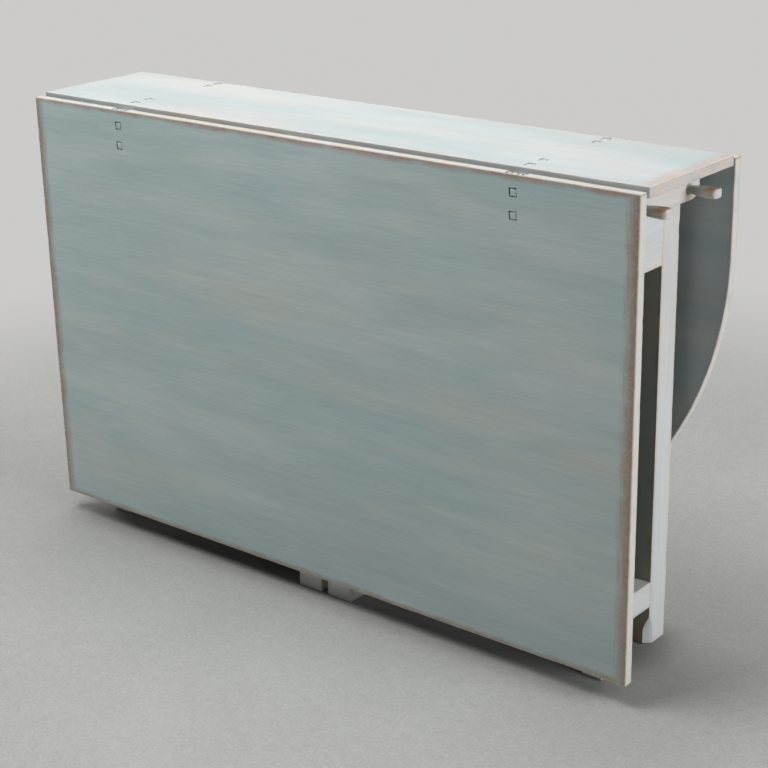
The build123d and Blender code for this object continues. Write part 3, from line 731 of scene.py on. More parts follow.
FEET = dict(Base=(0.680, 0.700, 0.650), Pale=(0.760, 0.775, 0.730), Warm=(0.790, 0.750, 0.665), RubAmount=0.25,
            LineAmount=0.12, Glaze=(0.300, 0.250, 0.200))
REAR = dict(Base=(0.535, 0.678, 0.682), Pale=(0.636, 0.744, 0.736), Warm=(0.664, 0.710, 0.680), Edge=CREAM,
            Glaze=(0.470, 0.325, 0.255), Wood=(0.860, 0.770, 0.700), SideAmount=0.84, Streak=1.35)
REAR_IN = dict(Base=(0.345, 0.415, 0.420), Pale=(0.410, 0.465, 0.462), Warm=(0.440, 0.455, 0.430), Edge=CREAM,
               Glaze=(0.300, 0.240, 0.210), SideAmount=0.35)
PEG = dict(Base=(0.360, 0.375, 0.330), Pale=(0.450, 0.455, 0.415), Warm=(0.490, 0.440, 0.360), RubAmount=0.7,
           Glaze=(0.560, 0.330, 0.190), Wood=(0.700, 0.660, 0.660))
IRON_CHIPS = dict(Glaze=(0.085, 0.078, 0.072), Wood=(0.130, 0.118, 0.108))


def make_crack_dirt_and_shade(name="dark_crack", fill=None, low=0.5, high=0.6):
    """Dirt and painted shade in a gap: near-black, darkening the gap as its shade would; with fill, the brush has
    bridged it in places.
    """
    m, n = new_material(name)
    p = n.add("ShaderNodeTexCoord").outputs["Object"]
    a = n.noise(p, 900.0, detail=3)
    colour = n.mix(a, (0.012, 0.011, 0.010), (0.060, 0.050, 0.042))
    if fill:
        b = n.noise(p, 170.0, detail=2.5, rough=0.6)
        colour = n.mix(n.span(b, low, high), colour, n.shade(fill, n.math("MULTIPLY_ADD", a, 0.3, 0.75)))
    finish_shader(n, colour, n.span(a, 0.3, 0.7, 0.75, 0.95), a, lift=0.0002, strength=0.5, specular=0.2)
    return m


def make_iron():
    m, n = new_material("forged_iron")
    p = n.add("ShaderNodeTexCoord").outputs["Object"]
    scale = n.noise(p, 160.0, detail=4, rough=0.6)
    rust = n.noise(p, 55.0, detail=4, rough=0.65)
    colour = n.mix(n.span(scale, 0.35, 0.7), (0.035, 0.034, 0.034), (0.085, 0.080, 0.076))
    colour = n.mix(n.span(rust, 0.52, 0.72, 0.0, 0.75), colour, (0.145, 0.062, 0.030))
    finish_shader(n, colour, n.span(rust, 0.4, 0.7, 0.42, 0.85), scale, lift=0.0003, strength=0.7,
                  metallic=n.span(rust, 0.5, 0.66, 0.75, 0.0))
    return m


def make_screw_steel():
    m, n = new_material("screw_steel")
    p = n.add("ShaderNodeTexCoord").outputs["Object"]
    ring = n.noise(n.vec("MULTIPLY", p, (3000.0, 3000.0, 500.0)), 1.0, detail=2)
    dull = n.noise(p, 420.0, detail=3)
    colour = n.mix(dull, (0.30, 0.295, 0.285), (0.48, 0.475, 0.465))
    colour = n.mix(n.span(dull, 0.60, 0.75, 0.0, 0.6), colour, (0.20, 0.110, 0.060))
    finish_shader(n, colour, n.span(ring, 0.3, 0.7, 0.28, 0.48), ring, lift=0.00005, strength=0.5,
                  metallic=n.span(dull, 0.60, 0.78, 1.0, 0.2))
    return m


def make_painted_iron():
    """Hinge iron brushed over with the frame's pale paint, chipped back to dark metal on knuckles and corners."""
    m, n = new_material("painted_iron")
    p = n.add("ShaderNodeTexCoord").outputs["Object"]
    brush = n.noise(n.vec("MULTIPLY", p, (220.0, 700.0, 700.0)), 1.0, detail=3, rough=0.6)
    chips = n.noise(p, 210.0, detail=4, rough=0.65)
    broad = n.noise(p, 70.0, detail=2)
    colour = n.mix(brush, (0.600, 0.650, 0.655), (0.760, 0.765, 0.745))
    bare = n.span(n.math("MULTIPLY_ADD", broad, 0.45, n.math("MULTIPLY", chips, 0.65)), 0.600, 0.660)
    colour = n.mix(bare, colour, n.mix(brush, (0.060, 0.054, 0.050), (0.150, 0.085, 0.055)))
    high = n.math("MULTIPLY_ADD", bare, -0.8, brush)
    finish_shader(n, colour, n.math("MULTIPLY_ADD", brush, 0.2, 0.45), high, lift=0.0001, strength=0.6)
    return m


# near-black dirt and painted shade for gaps, holes and the recesses round the rivet heads
CRACK_DIRT_AND_SHADE, IRON, STEEL = make_crack_dirt_and_shade(), make_iron(), make_screw_steel()
PAINTED_IRON = make_painted_iron()
LEAF_CRACK = make_crack_dirt_and_shade("leaf_crack", (0.42, 0.49, 0.49), 0.56, 0.66)
TOP_CRACK = make_crack_dirt_and_shade("top_crack", (0.64, 0.68, 0.68), 0.47, 0.57)


def paint_for(node, look, seed, name=None, **kw):
    lo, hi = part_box(node)
    return painted(name or "paint_" + node, lo, hi, seed, look, **kw)


def dress(node, material):
    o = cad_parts[node]
    o.data.materials.clear()
    o.data.materials.append(material)


# ================================================================ where the hinges are
def hinge_places():
    places = []
    for side in ("front", "rear"):
        for end in ("left", "right"):
            lo, hi = mm_box(f"hinge_top_plate_{side}_{end}")
            places.append((side, end, (lo[0] + hi[0]) / 2, lo, hi))
    return places


HINGES = hinge_places()
HEAD = 10.0


def merged(parts):
    co, faces = [], []
    for c, f in parts:
        base = len(co)
        co += [tuple(p) for p in c]
        faces += [[i + base for i in q] for q in f]
    return co, faces


RND = random.Random(41)


def rivet(centre, k, sign, depth, shank):
    """A hammered square head, outward along sign*k from centre (its outer face), and its shank."""
    u, v = (k + 1) % 3, (k + 2) % 3
    lo, hi = [0.0] * 3, [0.0] * 3
    half = HEAD / 2
    lo[u], hi[u] = centre[u] - half, centre[u] + half
    lo[v], hi[v] = centre[v] - half, centre[v] + half
    lo[k], hi[k] = sorted((centre[k], centre[k] - sign * depth))
    step = [1.6] * 3
    co, nrm, edge, faces = slab(lo, hi, 0.6, step)
    turn = math.radians(RND.uniform(-4.5, 4.5))
    taper = (RND.uniform(-0.05, 0.05), RND.uniform(-0.05, 0.05))
    shift = RND.uniform(0, 50)
    out = []
    for p in co:
        a, b = p[u] - centre[u], p[v] - centre[v]
        a, b = a * (1 - abs(taper[0]) + taper[0] * b / half), b * (1 - abs(taper[1]) + taper[1] * a / half)
        a, b = 0.975 * (a * math.cos(turn) - b * math.sin(turn)), 0.975 * (a * math.sin(turn) + b * math.cos(turn))
        q = list(p)
        q[u], q[v] = centre[u] + a, centre[v] + b
        outer = 1 - abs(p[k] - centre[k]) / depth
        rho = (a * a + b * b) / (half * half)
        q[k] -= sign * outer * (0.22 * rho + 0.16 * (0.5 + 0.5 * wavy(p, 3.2, shift)))
        out.append(q)
    start = list(centre)
    start[k] = centre[k] - sign * (depth - 0.2)
    if sign > 0:
        start[k] -= shank
    return merged([(out, faces), cylinder(start, k, shank, 2.45, 24)])


def ragged(lo, hi, turn, k):
    """A square cutter whose outline is a little torn."""
    u, v = (k + 1) % 3, (k + 2) % 3
    cu, cv, h = (lo[u] + hi[u]) / 2, (lo[v] + hi[v]) / 2, (hi[u] - lo[u]) / 2
    ring = []
    for j in range(24):
        side, t = divmod(j, 6)
        t = t / 6 * 2 - 1
        a, b = ((t, -1), (1, t), (-t, 1), (-1, -t))[side]
        grow = h + RND.uniform(-0.30, 0.30) + (RND.uniform(0.2, 0.7) if abs(abs(a) - abs(b)) < 0.05 else 0.0)
        ring.append((a * grow, b * grow))
    t = math.radians(turn)
    co = []
    for w in (lo[k], hi[k]):
        for a, b in ring:
            q = [0.0] * 3
            q[u], q[v], q[k] = cu + a * math.cos(t) - b * math.sin(t), cv + a * math.sin(t) + b * math.cos(t), w
            co.append(q)
    faces = [list(range(23, -1, -1)), list(range(24, 48))]
    faces += [[j, (j + 1) % 24, 24 + (j + 1) % 24, 24 + j] for j in range(24)]
    return co, faces


# ================================================================ leaves and top
def board_cuts(side_rows, k, sign, outer, u_of):
    """Recesses round the heads, a little out of square."""
    recess, holes = [], []
    for c in side_rows:
        half = HEAD / 2 + RND.uniform(0.95, 1.20)
        lo, hi = [0.0] * 3, [0.0] * 3
        for j in range(3):
            if j == k:
                lo[j], hi[j] = sorted((outer + sign * 1.0, outer - sign * 1.8))
            else:
                off = RND.uniform(-0.12, 0.12) + (0.22 if j == 2 else -0.38 if k == 1 else 0.0)
                lo[j], hi[j] = c[j] - half + off, c[j] + half + off
        recess.append(ragged(lo, hi, RND.uniform(-4, 4), k))
        start = list(c)
        start[k] = outer - 20.0 if sign > 0 else outer + 0.0
        holes.append(cylinder(start, k, 20.0, 2.5, 24))
    return recess, holes


def rivet_centres(node, k):
    """Centres of the heads, found from the CAD node's own mesh: its points parted wherever there is a gap."""
    parts = [np.array([v.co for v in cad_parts[node].data.vertices]) * 1000.0]
    for axis in [n for n in range(3) if n != k]:
        split = []
        for pts in parts:
            pts = pts[np.argsort(pts[:, axis], kind="stable")]
            at = np.nonzero(np.diff(pts[:, axis]) > 6.0)[0] + 1
            split += np.split(pts, at)
        parts = split
    return sorted([float(c) for c in (p.min(0) + p.max(0)) / 2] for p in parts)


def build_leaf(side, sy, body):
    node = side + "_leaf"
    lo, hi = mm_box(node)
    inner, outer = (hi[1], lo[1]) if sy < 0 else (lo[1], hi[1])
    if side == "front":
        co, nrm, edge, faces = slab(lo, hi, 1.4, (7.0, 5.0, 7.0))
    else:
        radius = (hi[0] - lo[0]) / 2
        arc_z = lo[2] + radius
        count = 364
        loop = [(hi[2], -radius), (hi[2], radius)]
        loop += [(arc_z - radius * math.sin(math.pi * j / count), radius * math.cos(math.pi * j / count))
                 for j in range(count + 1)]
        area2 = sum(a[0] * b[1] - b[0] * a[1] for a, b in zip(loop, loop[1:] + loop[:1]))
        if area2 < 0:
            loop = loop[::-1]
        co, nrm, edge, faces = plate([loop], 1, lo[1], hi[1], 1.4, 6.0, 9.0)
    co = wear_down(co, nrm, edge, 3.7 if sy < 0 else 9.2)
    look, seed_no = (LEAF, 1) if side == "front" else (REAR, 5)
    if side == "front":
        skin = paint_for(node, look, seed_no, band=(27, 13, 1), along=0, shape="board", line=2.8,
                         widen=(0.0001, 0, 0))
    else:
        skin = paint_for(node, look, seed_no, band=(19, 19, 19), along=0, shape="d", line=2.4)
    o = to_object(node + "_board", co, faces, skin)
    centres = rivet_centres(f"hinge_rivets_{side}_leaf", 1)
    recess, holes = board_cuts(centres, 1, sy, outer, 0)
    notch, housing, knuckle_gap_shade = [], [], []
    for s, e, hx, _, _ in HINGES:
        if s == side:
            plo, phi = mm_box(f"hinge_leaf_plate_{s}_{e}")
            mid = inner + sy * 7.5
            notch.append(brick([hx - 17, min(mid, inner - sy), phi[2] - 9.5], [hx + 17, max(mid, inner - sy), hi[2] + 1]))
            # painted shade: near-black nicks where the knuckles' gaps run out over the leaf's edge
            for at, wide in ((-13.0, 1.7), (-4.9, 1.05), (4.9, 1.0), (12.9, 1.3)):
                knuckle_gap_shade.append(brick([hx + at - wide, min(mid - sy * 2.0, outer - sy * 2.0), hi[2] - 5.0],
                                   [hx + at + wide, max(mid - sy * 2.0, outer - sy * 2.0), hi[2] + 1]))
            deep = inner + sy * 2.5
            housing.append(brick([hx - 15.1, min(deep, inner - sy), plo[2] - 0.1],
                                 [hx + 15.1, max(deep, inner - sy), phi[2] - 9.0]))
    cut(o, [merged(recess)], LEAF_CRACK)
    cut(o, [merged(notch)], skin)
    cut(o, [merged(knuckle_gap_shade)], CRACK_DIRT_AND_SHADE)
    cut(o, [merged(housing)], skin)
    cut(o, [merged(holes)], skin)
    if side == "rear":
        inside_skin = paint_for(node, REAR_IN, 6, name="paint_rear_leaf_inner", band=(12, 12, 12), along=0, shape="d",
                                line=2.0)
        o.data.materials.append(inside_skin)
        slot_no = len(o.data.materials) - 1
        for f in o.data.polygons:
            if f.normal.y < -0.95 and f.center.y < (lo[1] + 0.4) * MM:
                f.material_index = slot_no
    stand(o, body, side + "_leaf_paint", node)
    parts = []
    outer_face = mm_box(f"hinge_rivets_{side}_leaf")[0 if sy < 0 else 1][1]
    for c in centres:
        c[1] = outer_face
        parts.append(rivet(c, 1, sy, 2.0, 14.4))
    co, faces = merged(parts)
    heads = to_object(f"rivet_heads_{side}_leaf", co, faces,
                      paint_for(f"hinge_rivets_{side}_leaf", {**look, **IRON_CHIPS, "RubAmount": 0.0, "LineAmount": 0.0,
                                                              "Streak": 2.0}, 21 + sy))
    stand(heads, body, "leaf_paint_on_iron", f"hinge_rivets_{side}_leaf")


def build_top():
    lo, hi = mm_box("top_board")
    co, nrm, edge, faces = slab(lo, hi, 1.4, (7.0, 7.0, 5.0))
    co = wear_down(co, nrm, edge, 6.4)
    skin = paint_for("top_board", TOP, 3, band=(27, 8, 1), along=0, shape="board", line=2.2, faces=(1, 0, 0),
                     widen=(0.0004, 0, 0))
    o = to_object("top_board_worn", co, faces, skin)
    centres = rivet_centres("hinge_rivets_top", 2)
    recess, holes = board_cuts(centres, 2, 1, hi[2], 0)
    housing = []
    for side, end, hx, plo, phi in HINGES:
        sy = -1 if side == "front" else 1
        near, far = (abs(phi[1]), abs(lo[1]) + 1) if sy < 0 else (plo[1], hi[1] + 1)
        housing.append(brick([hx - 15.1, min(sy * (near - 0.1), sy * far), lo[2] - 1],
                             [hx + 15.1, max(sy * (near - 0.1), sy * far), lo[2] + 2.5]))
    cut(o, [merged(recess)], TOP_CRACK)
    cut(o, [merged(housing)], skin)
    cut(o, [merged(holes)], skin)
    stand(o, "table_frame", "top_paint", "top_board")
    parts = []
    for c in centres:
        c[2] = hi[2]
        parts.append(rivet(c, 2, 1, 1.9, 13.6))
    co, faces = merged(parts)
    heads = to_object("rivet_heads_top", co, faces,
                      paint_for("hinge_rivets_top", {**TOP, **IRON_CHIPS, "RubAmount": 0.0, "LineAmount": 0.0,
                                                     "Streak": 2.0}, 25))
    stand(heads, "table_frame", "top_paint_on_iron", "hinge_rivets_top")


# ================================================================ posts with stop chamfers
LEG, FULL, STOP = 11.0, 25.0, 50.0


def chamfer_leg(z):
    """Width of the chamfer on each face at height z: full at the foot, running out in a curve."""
    deep = LEG / math.sqrt(2)
    if z <= FULL:
        return LEG
    if z >= STOP:
        return 0.0
    (x1, y1), (x2, y2), (x3, y3) = (deep, FULL), (deep * 0.56, FULL + 12.5), (0.0, STOP)
    a = 2 * (x2 - x1), 2 * (y2 - y1), x2 * x2 + y2 * y2 - x1 * x1 - y1 * y1
    b = 2 * (x3 - x1), 2 * (y3 - y1), x3 * x3 + y3 * y3 - x1 * x1 - y1 * y1
    det = a[0] * b[1] - a[1] * b[0]
    cx, cy = (a[2] * b[1] - a[1] * b[2]) / det, (a[0] * b[2] - a[2] * b[0]) / det
    radius = math.hypot(x1 - cx, y1 - cy)
    return math.sqrt(2) * max(0.0, cx + math.sqrt(max(0.0, radius * radius - (z - cy) ** 2)))


def build_post(side, end, seed_no):
    node = f"post_{side}_{end}"
    lo, hi = mm_box(node)
    sx, sy = (-1 if end == "left" else 1), (-1 if side == "front" else 1)
    corners = [(lo[0], lo[1]), (hi[0], lo[1]), (hi[0], hi[1]), (lo[0], hi[1])]
    inner_x = lo[0] if sx > 0 else hi[0]
    outer_x = hi[0] if sx > 0 else lo[0]
    inner_y = lo[1] if sy > 0 else hi[1]
    outer_y = hi[1] if sy > 0 else lo[1]
    cut_at = {(inner_x, outer_y), (outer_x, inner_y)}
    rows = [(0.0, 2.0), (0.5, 1.1), (1.3, 0.4), (2.6, 0.0)]
    z = 4.0
    while z < hi[2] - 4:
        rows.append((z, 0.0))
        z += 2.2 if 26 < z < 54 else 6.0
    rows += [(hi[2] - 0.6, 0.0), (hi[2] - 0.15, 0.2), (hi[2], 0.6)]
    mid = Vector(((lo[0] + hi[0]) / 2, (lo[1] + hi[1]) / 2))
    half = (hi[0] - lo[0]) / 2
    stations, nrm, edge = [], [], []
    for z, ins in rows:
        ring = []
        for j, p in enumerate(corners):
            P = Vector(p)
            d1 = (P - Vector(corners[j - 1])).normalized()
            d2 = (Vector(corners[(j + 1) % 4]) - P).normalized()
            leg = chamfer_leg(z) if p in cut_at else 0.0
            wide = leg > 1.2
            leg = max(leg, 0.75)
            t = min(0.5, leg * 0.45)
            a, b = P - d1 * leg, P + d2 * leg
            cd = (b - a).normalized()
            out = (d1 - d2).normalized()
            for q, n2, e in ((a - d1 * t, Vector((d1.y, -d1.x)), 0.6), (a + (cd - d1) * t * 0.25, (d1 - d2 * 0.4).normalized(), 0.9),
                             (a + cd * t, out, 0.7), ((a + b) / 2, out, 0.1 if wide else 1.0),
                             (b - cd * t, out, 0.7), (b + (d2 - cd) * t * 0.25, (d1 * 0.4 - d2).normalized(), 0.9),
                             (b + d2 * t, Vector((d2.y, -d2.x)), 0.6)):
                ring.append((q, n2, e))
            last, nxt = b + d2 * t, Vector(corners[(j + 1) % 4])
            nleg = max(chamfer_leg(z) if tuple(corners[(j + 1) % 4]) in cut_at else 0.0, 0.75)
            goal = nxt - d2 * (nleg + min(0.5, nleg * 0.45))
            for s in range(1, 6):
                ring.append((last + (goal - last) * s / 6, Vector((d2.y, -d2.x)), 0.12 if s in (1, 5) else 0.0))
        shrink = 1 - ins / half
        stations.append([(mid.x + (q.x - mid.x) * shrink, mid.y + (q.y - mid.y) * shrink, z) for q, _, _ in ring])
        nrm += [Vector((n2.x, n2.y, 0)) for _, n2, _ in ring]
        edge += [e for _, _, e in ring]
    flat = [p for ring in stations for p in ring]
    flat = wear_down(flat, nrm, edge, 2.3 * seed_no, amount=0.9)
    size = len(stations[0])
    stations = [flat[j * size:(j + 1) * size] for j in range(len(stations))]
    co, faces = loft(stations)
    o = to_object(node + "_worn", co, faces, paint_for(node, FRAME, seed_no, band=(9, 9, 9), line=1.8), sharp=50)
    plo, phi = mm_box(f"lock_peg_{side}_{end}")
    cy = (plo[1] + phi[1]) / 2
    cz = (plo[2] + phi[2]) / 2
    if sx > 0:
        hole = cylinder([hi[0] - 32.0, cy, cz], 0, 34.0, 7.55)
    else:
        hole = cylinder([lo[0] - 2.0, cy, cz], 0, 34.0, 7.55)
    # the peg hole's walls take the near-black dirt and painted shade
    cut(o, [hole], CRACK_DIRT_AND_SHADE)
    o.data.materials.append(paint_for(node, FRAME_IN, seed_no + 40, name=f"paint_{node}_inside", band=(7, 7, 46),
                                      line=1.2))
    slot_no = len(o.data.materials) - 1
    for f in o.data.polygons:
        if f.material_index == 0 and (f.normal.y * sy < -0.93 or f.normal.x * sx < -0.93):
            f.material_index = slot_no
    stand(o, "table_frame", "frame_paint", node)


def build_end_rail(name, end, seed_no):
    node = f"end_rail_{name}_{end}"
    lo, hi = mm_box(node)
    post_lo, post_hi = mm_box(f"post_front_{end}")
    lo[1], hi[1] = post_hi[1] + 0.45, -post_hi[1] - 0.45
    co, nrm, edge, faces = slab(lo, hi, 0.9, (5.0, 6.0, 5.0))
    co = wear_down(co, nrm, edge, 1.9 * seed_no, amount=0.8)
    o = to_object(node + "_worn", co, faces, paint_for(node, FRAME, seed_no, along=1, band=(9, 3, 9), line=1.8))
    stand(o, "table_frame", "frame_paint", node)


def build_batten(end, seed_no):
    node = "batten_" + end
    lo, hi = mm_box(node)
    r = 20.0
    loop = [(lo[1] + r, lo[2]), (hi[1] - r, lo[2])]
    loop += [(hi[1] - r + r * math.sin(t), lo[2] + r - r * math.cos(t)) for t in
             [math.radians(d) for d in range(10, 91, 10)]]
    loop += [(hi[1], hi[2]), (lo[1], hi[2])]
    loop += [(lo[1] + r - r * math.cos(t), lo[2] + r - r * math.sin(t)) for t in
             [math.radians(d) for d in range(0, 81, 10)]]
    holes = []
    for side in ("front", "rear"):
        plo, phi = mm_box(f"lock_peg_{side}_{end}")
        cy, cz = (plo[1] + phi[1]) / 2, (plo[2] + phi[2]) / 2
        holes.append([(cy + 7.55 * math.cos(t), cz - 7.55 * math.sin(t)) for t in
                      [math.tau * j / 36 for j in range(36)]])
    co, nrm, edge, faces = plate([loop] + holes, 0, lo[0], hi[0], 1.2, 5.0, 7.0, inset=2.2)
    co = wear_down(co, nrm, edge, 1.3 * seed_no, amount=0.9)
    skin = paint_for(node, BATTEN, seed_no, along=1, band=(9, 9, 9), line=1.8)
    o = to_object(node + "_worn", co, faces, skin)
    slo, shi = mm_box("batten_screws")
    cx = (lo[0] + hi[0]) / 2
    bores = [cylinder([cx, y, lo[2] - 1.0], 2, 13.0, 4.5) for y in (-40.0, 0.0, 40.0)]
    shafts = [cylinder([cx, y, lo[2] + 5.0], 2, 60.0, 2.05, 20) for y in (-40.0, 0.0, 40.0)]
    cut(o, [merged(bores)], skin)
    cut(o, [merged(shafts)], skin)
    stand(o, "table_frame", "frame_paint", node)


def build_gate_leg(side, end, seed_no):
    node = f"gate_leg_{side}_{end}"
    lo, hi = mm_box(node)
    sy = -1 if side == "front" else 1
    f, b = (lo[1], hi[1]) if sy < 0 else (hi[1], lo[1])
    rail_lo, rail_hi = mm_box("stretcher_" + side)
    ap_lo, ap_hi = mm_box("apron_" + side)
    n = (rail_lo[1] - 0.5) if sy < 0 else (rail_hi[1] + 0.5)
    loop = [(f, lo[2]), (b, lo[2]), (b, rail_lo[2] - 3), (n, rail_lo[2] - 3), (n, rail_hi[2] + 3), (b, rail_hi[2] + 3),
            (b, ap_lo[2] - 3), (n, ap_lo[2] - 3), (n, hi[2]), (f, hi[2])]
    area2 = sum(p[0] * q[1] - q[0] * p[1] for p, q in zip(loop, loop[1:] + loop[:1]))
    if area2 < 0:
        loop = loop[::-1]
    co, nrm, edge, faces = plate([loop], 0, lo[0], hi[0], 1.2, 6.0, 8.0, inset=3.0)
    co = wear_down(co, nrm, edge, 0.9 * seed_no, amount=0.9)
    o = to_object(node + "_worn", co, faces, paint_for(node, FEET, seed_no, band=(8, 8, 8), line=1.8))
    stand(o, "table_frame", "frame_paint", node)


# ================================================================ pegs
def make_peg_paint(node, seed_no, tip, face):
    """Grey-green paint with painted shade towards the batten and painted light towards the tip, rubbed to orange-brown
    wood on top of the paddle, pale at the tip.
    """
    lo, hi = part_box(node)
    m, n = new_material("paint_" + node)
    paint = n.add("ShaderNodeGroup", node_tree=PAINT)
    p = n.vec("SCALE", n.add("ShaderNodeTexCoord").outputs["Object"], 1000.0)
    x, y, z = n.xyz(p)
    out = n.math("DIVIDE", n.math("SUBTRACT", x, face), tip - face)
    blot = n.noise(p, 0.09, detail=3, rough=0.6)
    n.put(paint.inputs["Along"], AXES[0])
    n.put(paint.inputs["Across"], AXES[1])
    n.put(paint.inputs["Through"], AXES[2])
    n.put(paint.inputs["Seed"], Vector((seed_no * 137.0, seed_no * 71.0, seed_no * 29.0)))
    for key, value in PEG.items():
        n.put(paint.inputs[key], value)
    # bare wood on the upper face towards the tip
    cz = (lo[2] + hi[2]) * 500.0
    top = n.span(n.math("SUBTRACT", z, cz), 1.5, 6.0)
    bare = n.math("MULTIPLY", n.math("MULTIPLY", top, n.span(n.math("ADD", out, n.math("MULTIPLY", n.math("SUBTRACT", blot, 0.5), 0.7)),
                                                             0.52, 0.74)), 0.95)
    grain = n.noise(n.vec("MULTIPLY", p, (0.03, 1.1, 1.1)), 1.0, detail=3)
    wood = n.mix(grain, (0.46, 0.235, 0.115), (0.72, 0.43, 0.25))
    # painted shade and light: the paint is scaled from 0.62 towards the batten up to 1.38 towards the tip
    worn = n.shade(paint.outputs["Color"], n.span(out, 0.20, 0.70, 0.62, 1.38))
    colour = n.mix(n.span(n.math("SUBTRACT", z, cz), 4.5, 6.4, 0.0, 0.75), worn, (0.600, 0.620, 0.570))
    colour = n.mix(bare, colour, wood)
    tipped = n.span(n.math("ADD", out, n.math("MULTIPLY", n.math("SUBTRACT", blot, 0.5), 0.25)), 0.915, 0.975)
    colour = n.mix(tipped, colour, n.shade((0.84, 0.79, 0.80), n.math("MULTIPLY_ADD", grain, 0.3, 0.85)))
    # the round shank is bare and pinkish inside the batten
    shank = n.span(out, 0.02, -0.01)
    colour = n.mix(shank, colour, n.mix(grain, (0.52, 0.36, 0.27), (0.68, 0.50, 0.39)))
    finish_shader(n, colour, paint.outputs["Roughness"], paint.outputs["Height"], lift=0.00008)
    return m


def build_peg(side, end, seed_no):
    node = f"lock_peg_{side}_{end}"
    lo, hi = mm_box(node)
    sx = -1 if end == "left" else 1
    blo, bhi = mm_box("batten_" + end)
    face = bhi[0] if sx > 0 else blo[0]
    tip = hi[0] if sx > 0 else lo[0]
    inner = lo[0] if sx > 0 else hi[0]
    cy, cz = (lo[1] + hi[1]) / 2, (lo[2] + hi[2]) / 2
    reach = abs(tip - face)
    deep = abs(inner - face)
    wide, tall = (hi[1] - lo[1]) / 2, (hi[2] - lo[2]) / 2
    shape = [(-deep, 5.6, 5.6, 2.0), (-deep + 0.8, 6.8, 6.8, 2.0), (-deep + 2.0, 7.5, 7.5, 2.0)]
    shape += [(-deep + 2.0 + (deep - 2.2) * j / 6, 7.5, 7.5, 2.0) for j in range(1, 7)]
    shape += [(0.8, 7.2, 6.9, 2.1), (2.2, 6.4, 5.9, 2.3), (4.6, 6.2, 5.6, 2.8), (7.5, 6.7, 5.7, 3.6), (11, 7.6, 5.9, 4.4),
              (16, 8.9, 6.2, 5.0), (21, 10.0, 6.5, 5.4), (26, 10.8, 6.75, 5.6), (31, 11.3, 6.9, 5.8),
              (35, 11.55, 7.0, 5.8), (38.5, 11.5, 7.0, 5.8), (41.2, 11.0, 6.95, 5.6), (43.2, 10.2, 6.85, 5.4),
              (44.8, 9.0, 6.7, 5.2), (45.9, 7.8, 6.4, 5.0), (46.6, 6.6, 5.9, 4.6), (47.0, 5.4, 5.2, 4.2)]
    rnd = random.Random(seed_no)
    lift, twist = rnd.uniform(-0.25, 0.25), math.radians(rnd.uniform(-3, 3))
    stations = []
    for t, w, h, power in shape:
        w, h = min(w, wide), min(h, tall)
        ring = []
        f = max(0.0, t) / reach
        for j in range(64):
            a = math.tau * j / 64
            c, s = math.cos(a), math.sin(a)
            y = w * math.copysign(abs(c) ** (2 / power), c)
            z = h * math.copysign(abs(s) ** (2 / power), s)
            if t > 0:
                k = 1 - 0.018 * (1 + wavy((t, y, z), 9.0, seed_no)) * f
                y, z = y * k, z * k
                y, z = y * math.cos(twist * f) - z * math.sin(twist * f), y * math.sin(twist * f) + z * math.cos(twist * f)
            y = max(-wide, min(wide, y))
            z = max(-tall, min(tall, z))
            ring.append((face + sx * t * reach / 47.0 if t > 0 else face + sx * t, cy + y, cz + z))
        stations.append(ring)
    co, faces = loft(stations)
    o = to_object(node + "_turned", co, faces, make_peg_paint(node, seed_no, tip, face), sharp=60)
    stand(o, f"peg_{side}_{end}", "peg_wood", node)


# ================================================================ put it together
build_top()
build_leaf("front", -1, "leaf_front")
build_leaf("rear", 1, "leaf_rear")
serial = 10
for side in ("front", "rear"):
    for end in ("left", "right"):
        serial += 1
        build_post(side, end, serial)
        build_gate_leg(side, end, serial + 10)
        build_peg(side, end, serial + 20)
for end in ("left", "right"):
    serial += 1
    build_batten(end, serial)
    for name in ("upper", "lower"):
        serial += 1
        build_end_rail(name, end, serial)
for node in sorted(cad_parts):
    serial += 1
    if node.startswith(("apron", "stretcher", "gate_stile", "gate_rail")):
        dress(node, paint_for(node, INNER, serial, band=(8, 8, 8), line=1.6))
    elif node.startswith(("hinge_top_plate", "hinge_leaf_plate")):
        dress(node, PAINTED_IRON)
    elif node.startswith("hinge_pin"):
        dress(node, IRON)
    elif node == "batten_screws":
        dress(node, STEEL)


# ================================================================ camera, light and floor
def place_camera():
    az, el, roll = (math.radians(v) for v in (39.312, 20.210, -1.165))
    back = Vector((math.sin(az) * math.cos(el), -math.cos(az) * math.cos(el), math.sin(el)))
    right = Vector((math.cos(az), math.sin(az), 0))
    up = right.cross(-back)
    r2 = math.cos(roll) * right + math.sin(roll) * up
    u2 = -math.sin(roll) * right + math.cos(roll) * up
    data = bpy.data.cameras.new("camera")
    data.sensor_width = 36.0
    data.lens = 83.05
    cam = bpy.data.objects.new("camera", data)
    bpy.context.scene.collection.objects.link(cam)
    m = Matrix((r2, u2, back)).transposed().to_4x4()
    m.translation = Vector((1.710887, -2.035168, 1.301197))
    cam.matrix_world = m
    bpy.context.scene.camera = cam


def area(name, place, aim, size, power, colour=(1, 1, 1)):
    data = bpy.data.lights.new(name, "AREA")
    data.shape = "RECTANGLE"
    data.size, data.size_y = size
    data.energy = power
    data.color = colour
    o = bpy.data.objects.new(name, data)
    bpy.context.scene.collection.objects.link(o)
    o.location = place
    o.rotation_mode = "QUATERNION"
    o.rotation_quaternion = (Vector(aim) - Vector(place)).to_track_quat("-Z", "Y")


place_camera()
area("overhead", (-0.45, 0.30, 3.2), (-0.2, 0.0, 0.3), (2.2, 2.2), 50)
area("front_high", (-0.7, -1.2, 3.4), (-0.1, 0.0, 0.3), (1.5, 1.5), 52)
area("right_side", (3.4, 0.2, 1.5), (0.0, 0.0, 0.4), (1.8, 1.8), 55)
area("back_left", (-1.5, 1.5, 3.0), (0.0, 0.0, 0.3), (2.5, 2.5), 14)

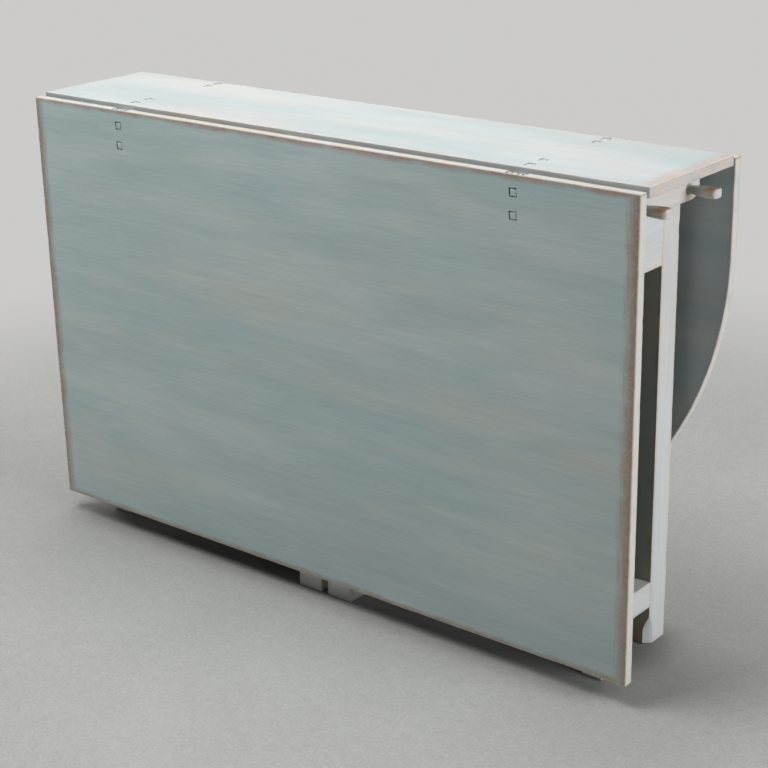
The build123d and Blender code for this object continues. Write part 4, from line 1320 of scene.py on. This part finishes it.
world = bpy.data.worlds.new("studio")
bpy.context.scene.world = world
world.use_nodes = True
w = Net(world.node_tree)
sky = world.node_tree.nodes["Background"]
sky.inputs[0].default_value = (1.0, 1.0, 1.0, 1.0)
w.put(sky.inputs[1], w.span(w.add("ShaderNodeLightPath").outputs["Is Camera Ray"], 0.0, 1.0, 0.03, 0.60))

mesh = bpy.data.meshes.new("floor")
ring = [(14 * math.cos(k * math.tau / 96), 14 * math.sin(k * math.tau / 96), -0.0004) for k in range(96)]
mesh.from_pydata(ring, [], [list(range(96))])
floor = bpy.data.objects.new("floor", mesh)
bpy.context.scene.collection.objects.link(floor)
m, n = new_material("concrete")
p = n.add("ShaderNodeTexCoord").outputs["Object"]
x, y, z = n.xyz(p)
far = n.math("SQRT", n.math("ADD", n.math("MULTIPLY", x, x), n.math("MULTIPLY", y, y)))
cloud = n.noise(p, 3.4, detail=4, rough=0.6)
grit = n.noise(p, 62, detail=3, rough=0.65)
fine = n.noise(p, 230, detail=2.5, rough=0.6)
tone = n.math("MULTIPLY_ADD", n.math("SUBTRACT", cloud, 0.5), 0.20,
              n.math("MULTIPLY_ADD", n.math("SUBTRACT", grit, 0.5), 0.30,
                     n.math("MULTIPLY_ADD", n.math("SUBTRACT", fine, 0.5), 0.42, 1.0)))
# painted shadow: the floor's tone drops to 0.62 under the table's footprint (|x| < 0.50 m, y from -0.105 to 0.065 m)
# and comes back over 75 mm around it
dx = n.math("MAXIMUM", n.math("SUBTRACT", n.math("ABSOLUTE", x), 0.50), 0.0)
dy = n.math("MAXIMUM", n.math("SUBTRACT", n.math("ABSOLUTE", n.math("ADD", y, 0.02)), 0.085), 0.0)
painted_shadow_reach = n.math("SQRT", n.math("ADD", n.math("MULTIPLY", dx, dx), n.math("MULTIPLY", dy, dy)))
tone = n.math("MULTIPLY", tone, n.span(painted_shadow_reach, 0.0, 0.075, 0.62, 1.0))
colour = n.shade((0.475, 0.475, 0.452), tone)
finish_shader(n, colour, n.span(grit, 0.3, 0.7, 0.55, 0.75), grit, lift=0.0005, strength=0.3, specular=0.3)
# beyond the set the floor runs up into a pale studio wall, seen by the camera but giving no light
glow = n.add("ShaderNodeEmission", {"Color": (1.0, 0.992, 0.975), "Strength": 0.60})
veil = n.math("MULTIPLY", n.span(far, 0.75, 1.9), n.add("ShaderNodeLightPath").outputs["Is Camera Ray"])
blend = n.add("ShaderNodeMixShader", {0: veil})
out = next(x for x in n.tree.nodes if x.type == "OUTPUT_MATERIAL")
solid = next(x for x in n.tree.nodes if x.type == "BSDF_PRINCIPLED")
n.tree.links.new(solid.outputs[0], blend.inputs[1])
n.tree.links.new(glow.outputs[0], blend.inputs[2])
n.tree.links.new(blend.outputs[0], out.inputs[0])
mesh.materials.append(m)

bpy.context.scene.view_settings.view_transform = "Standard"
bpy.context.scene.view_settings.look = "None"
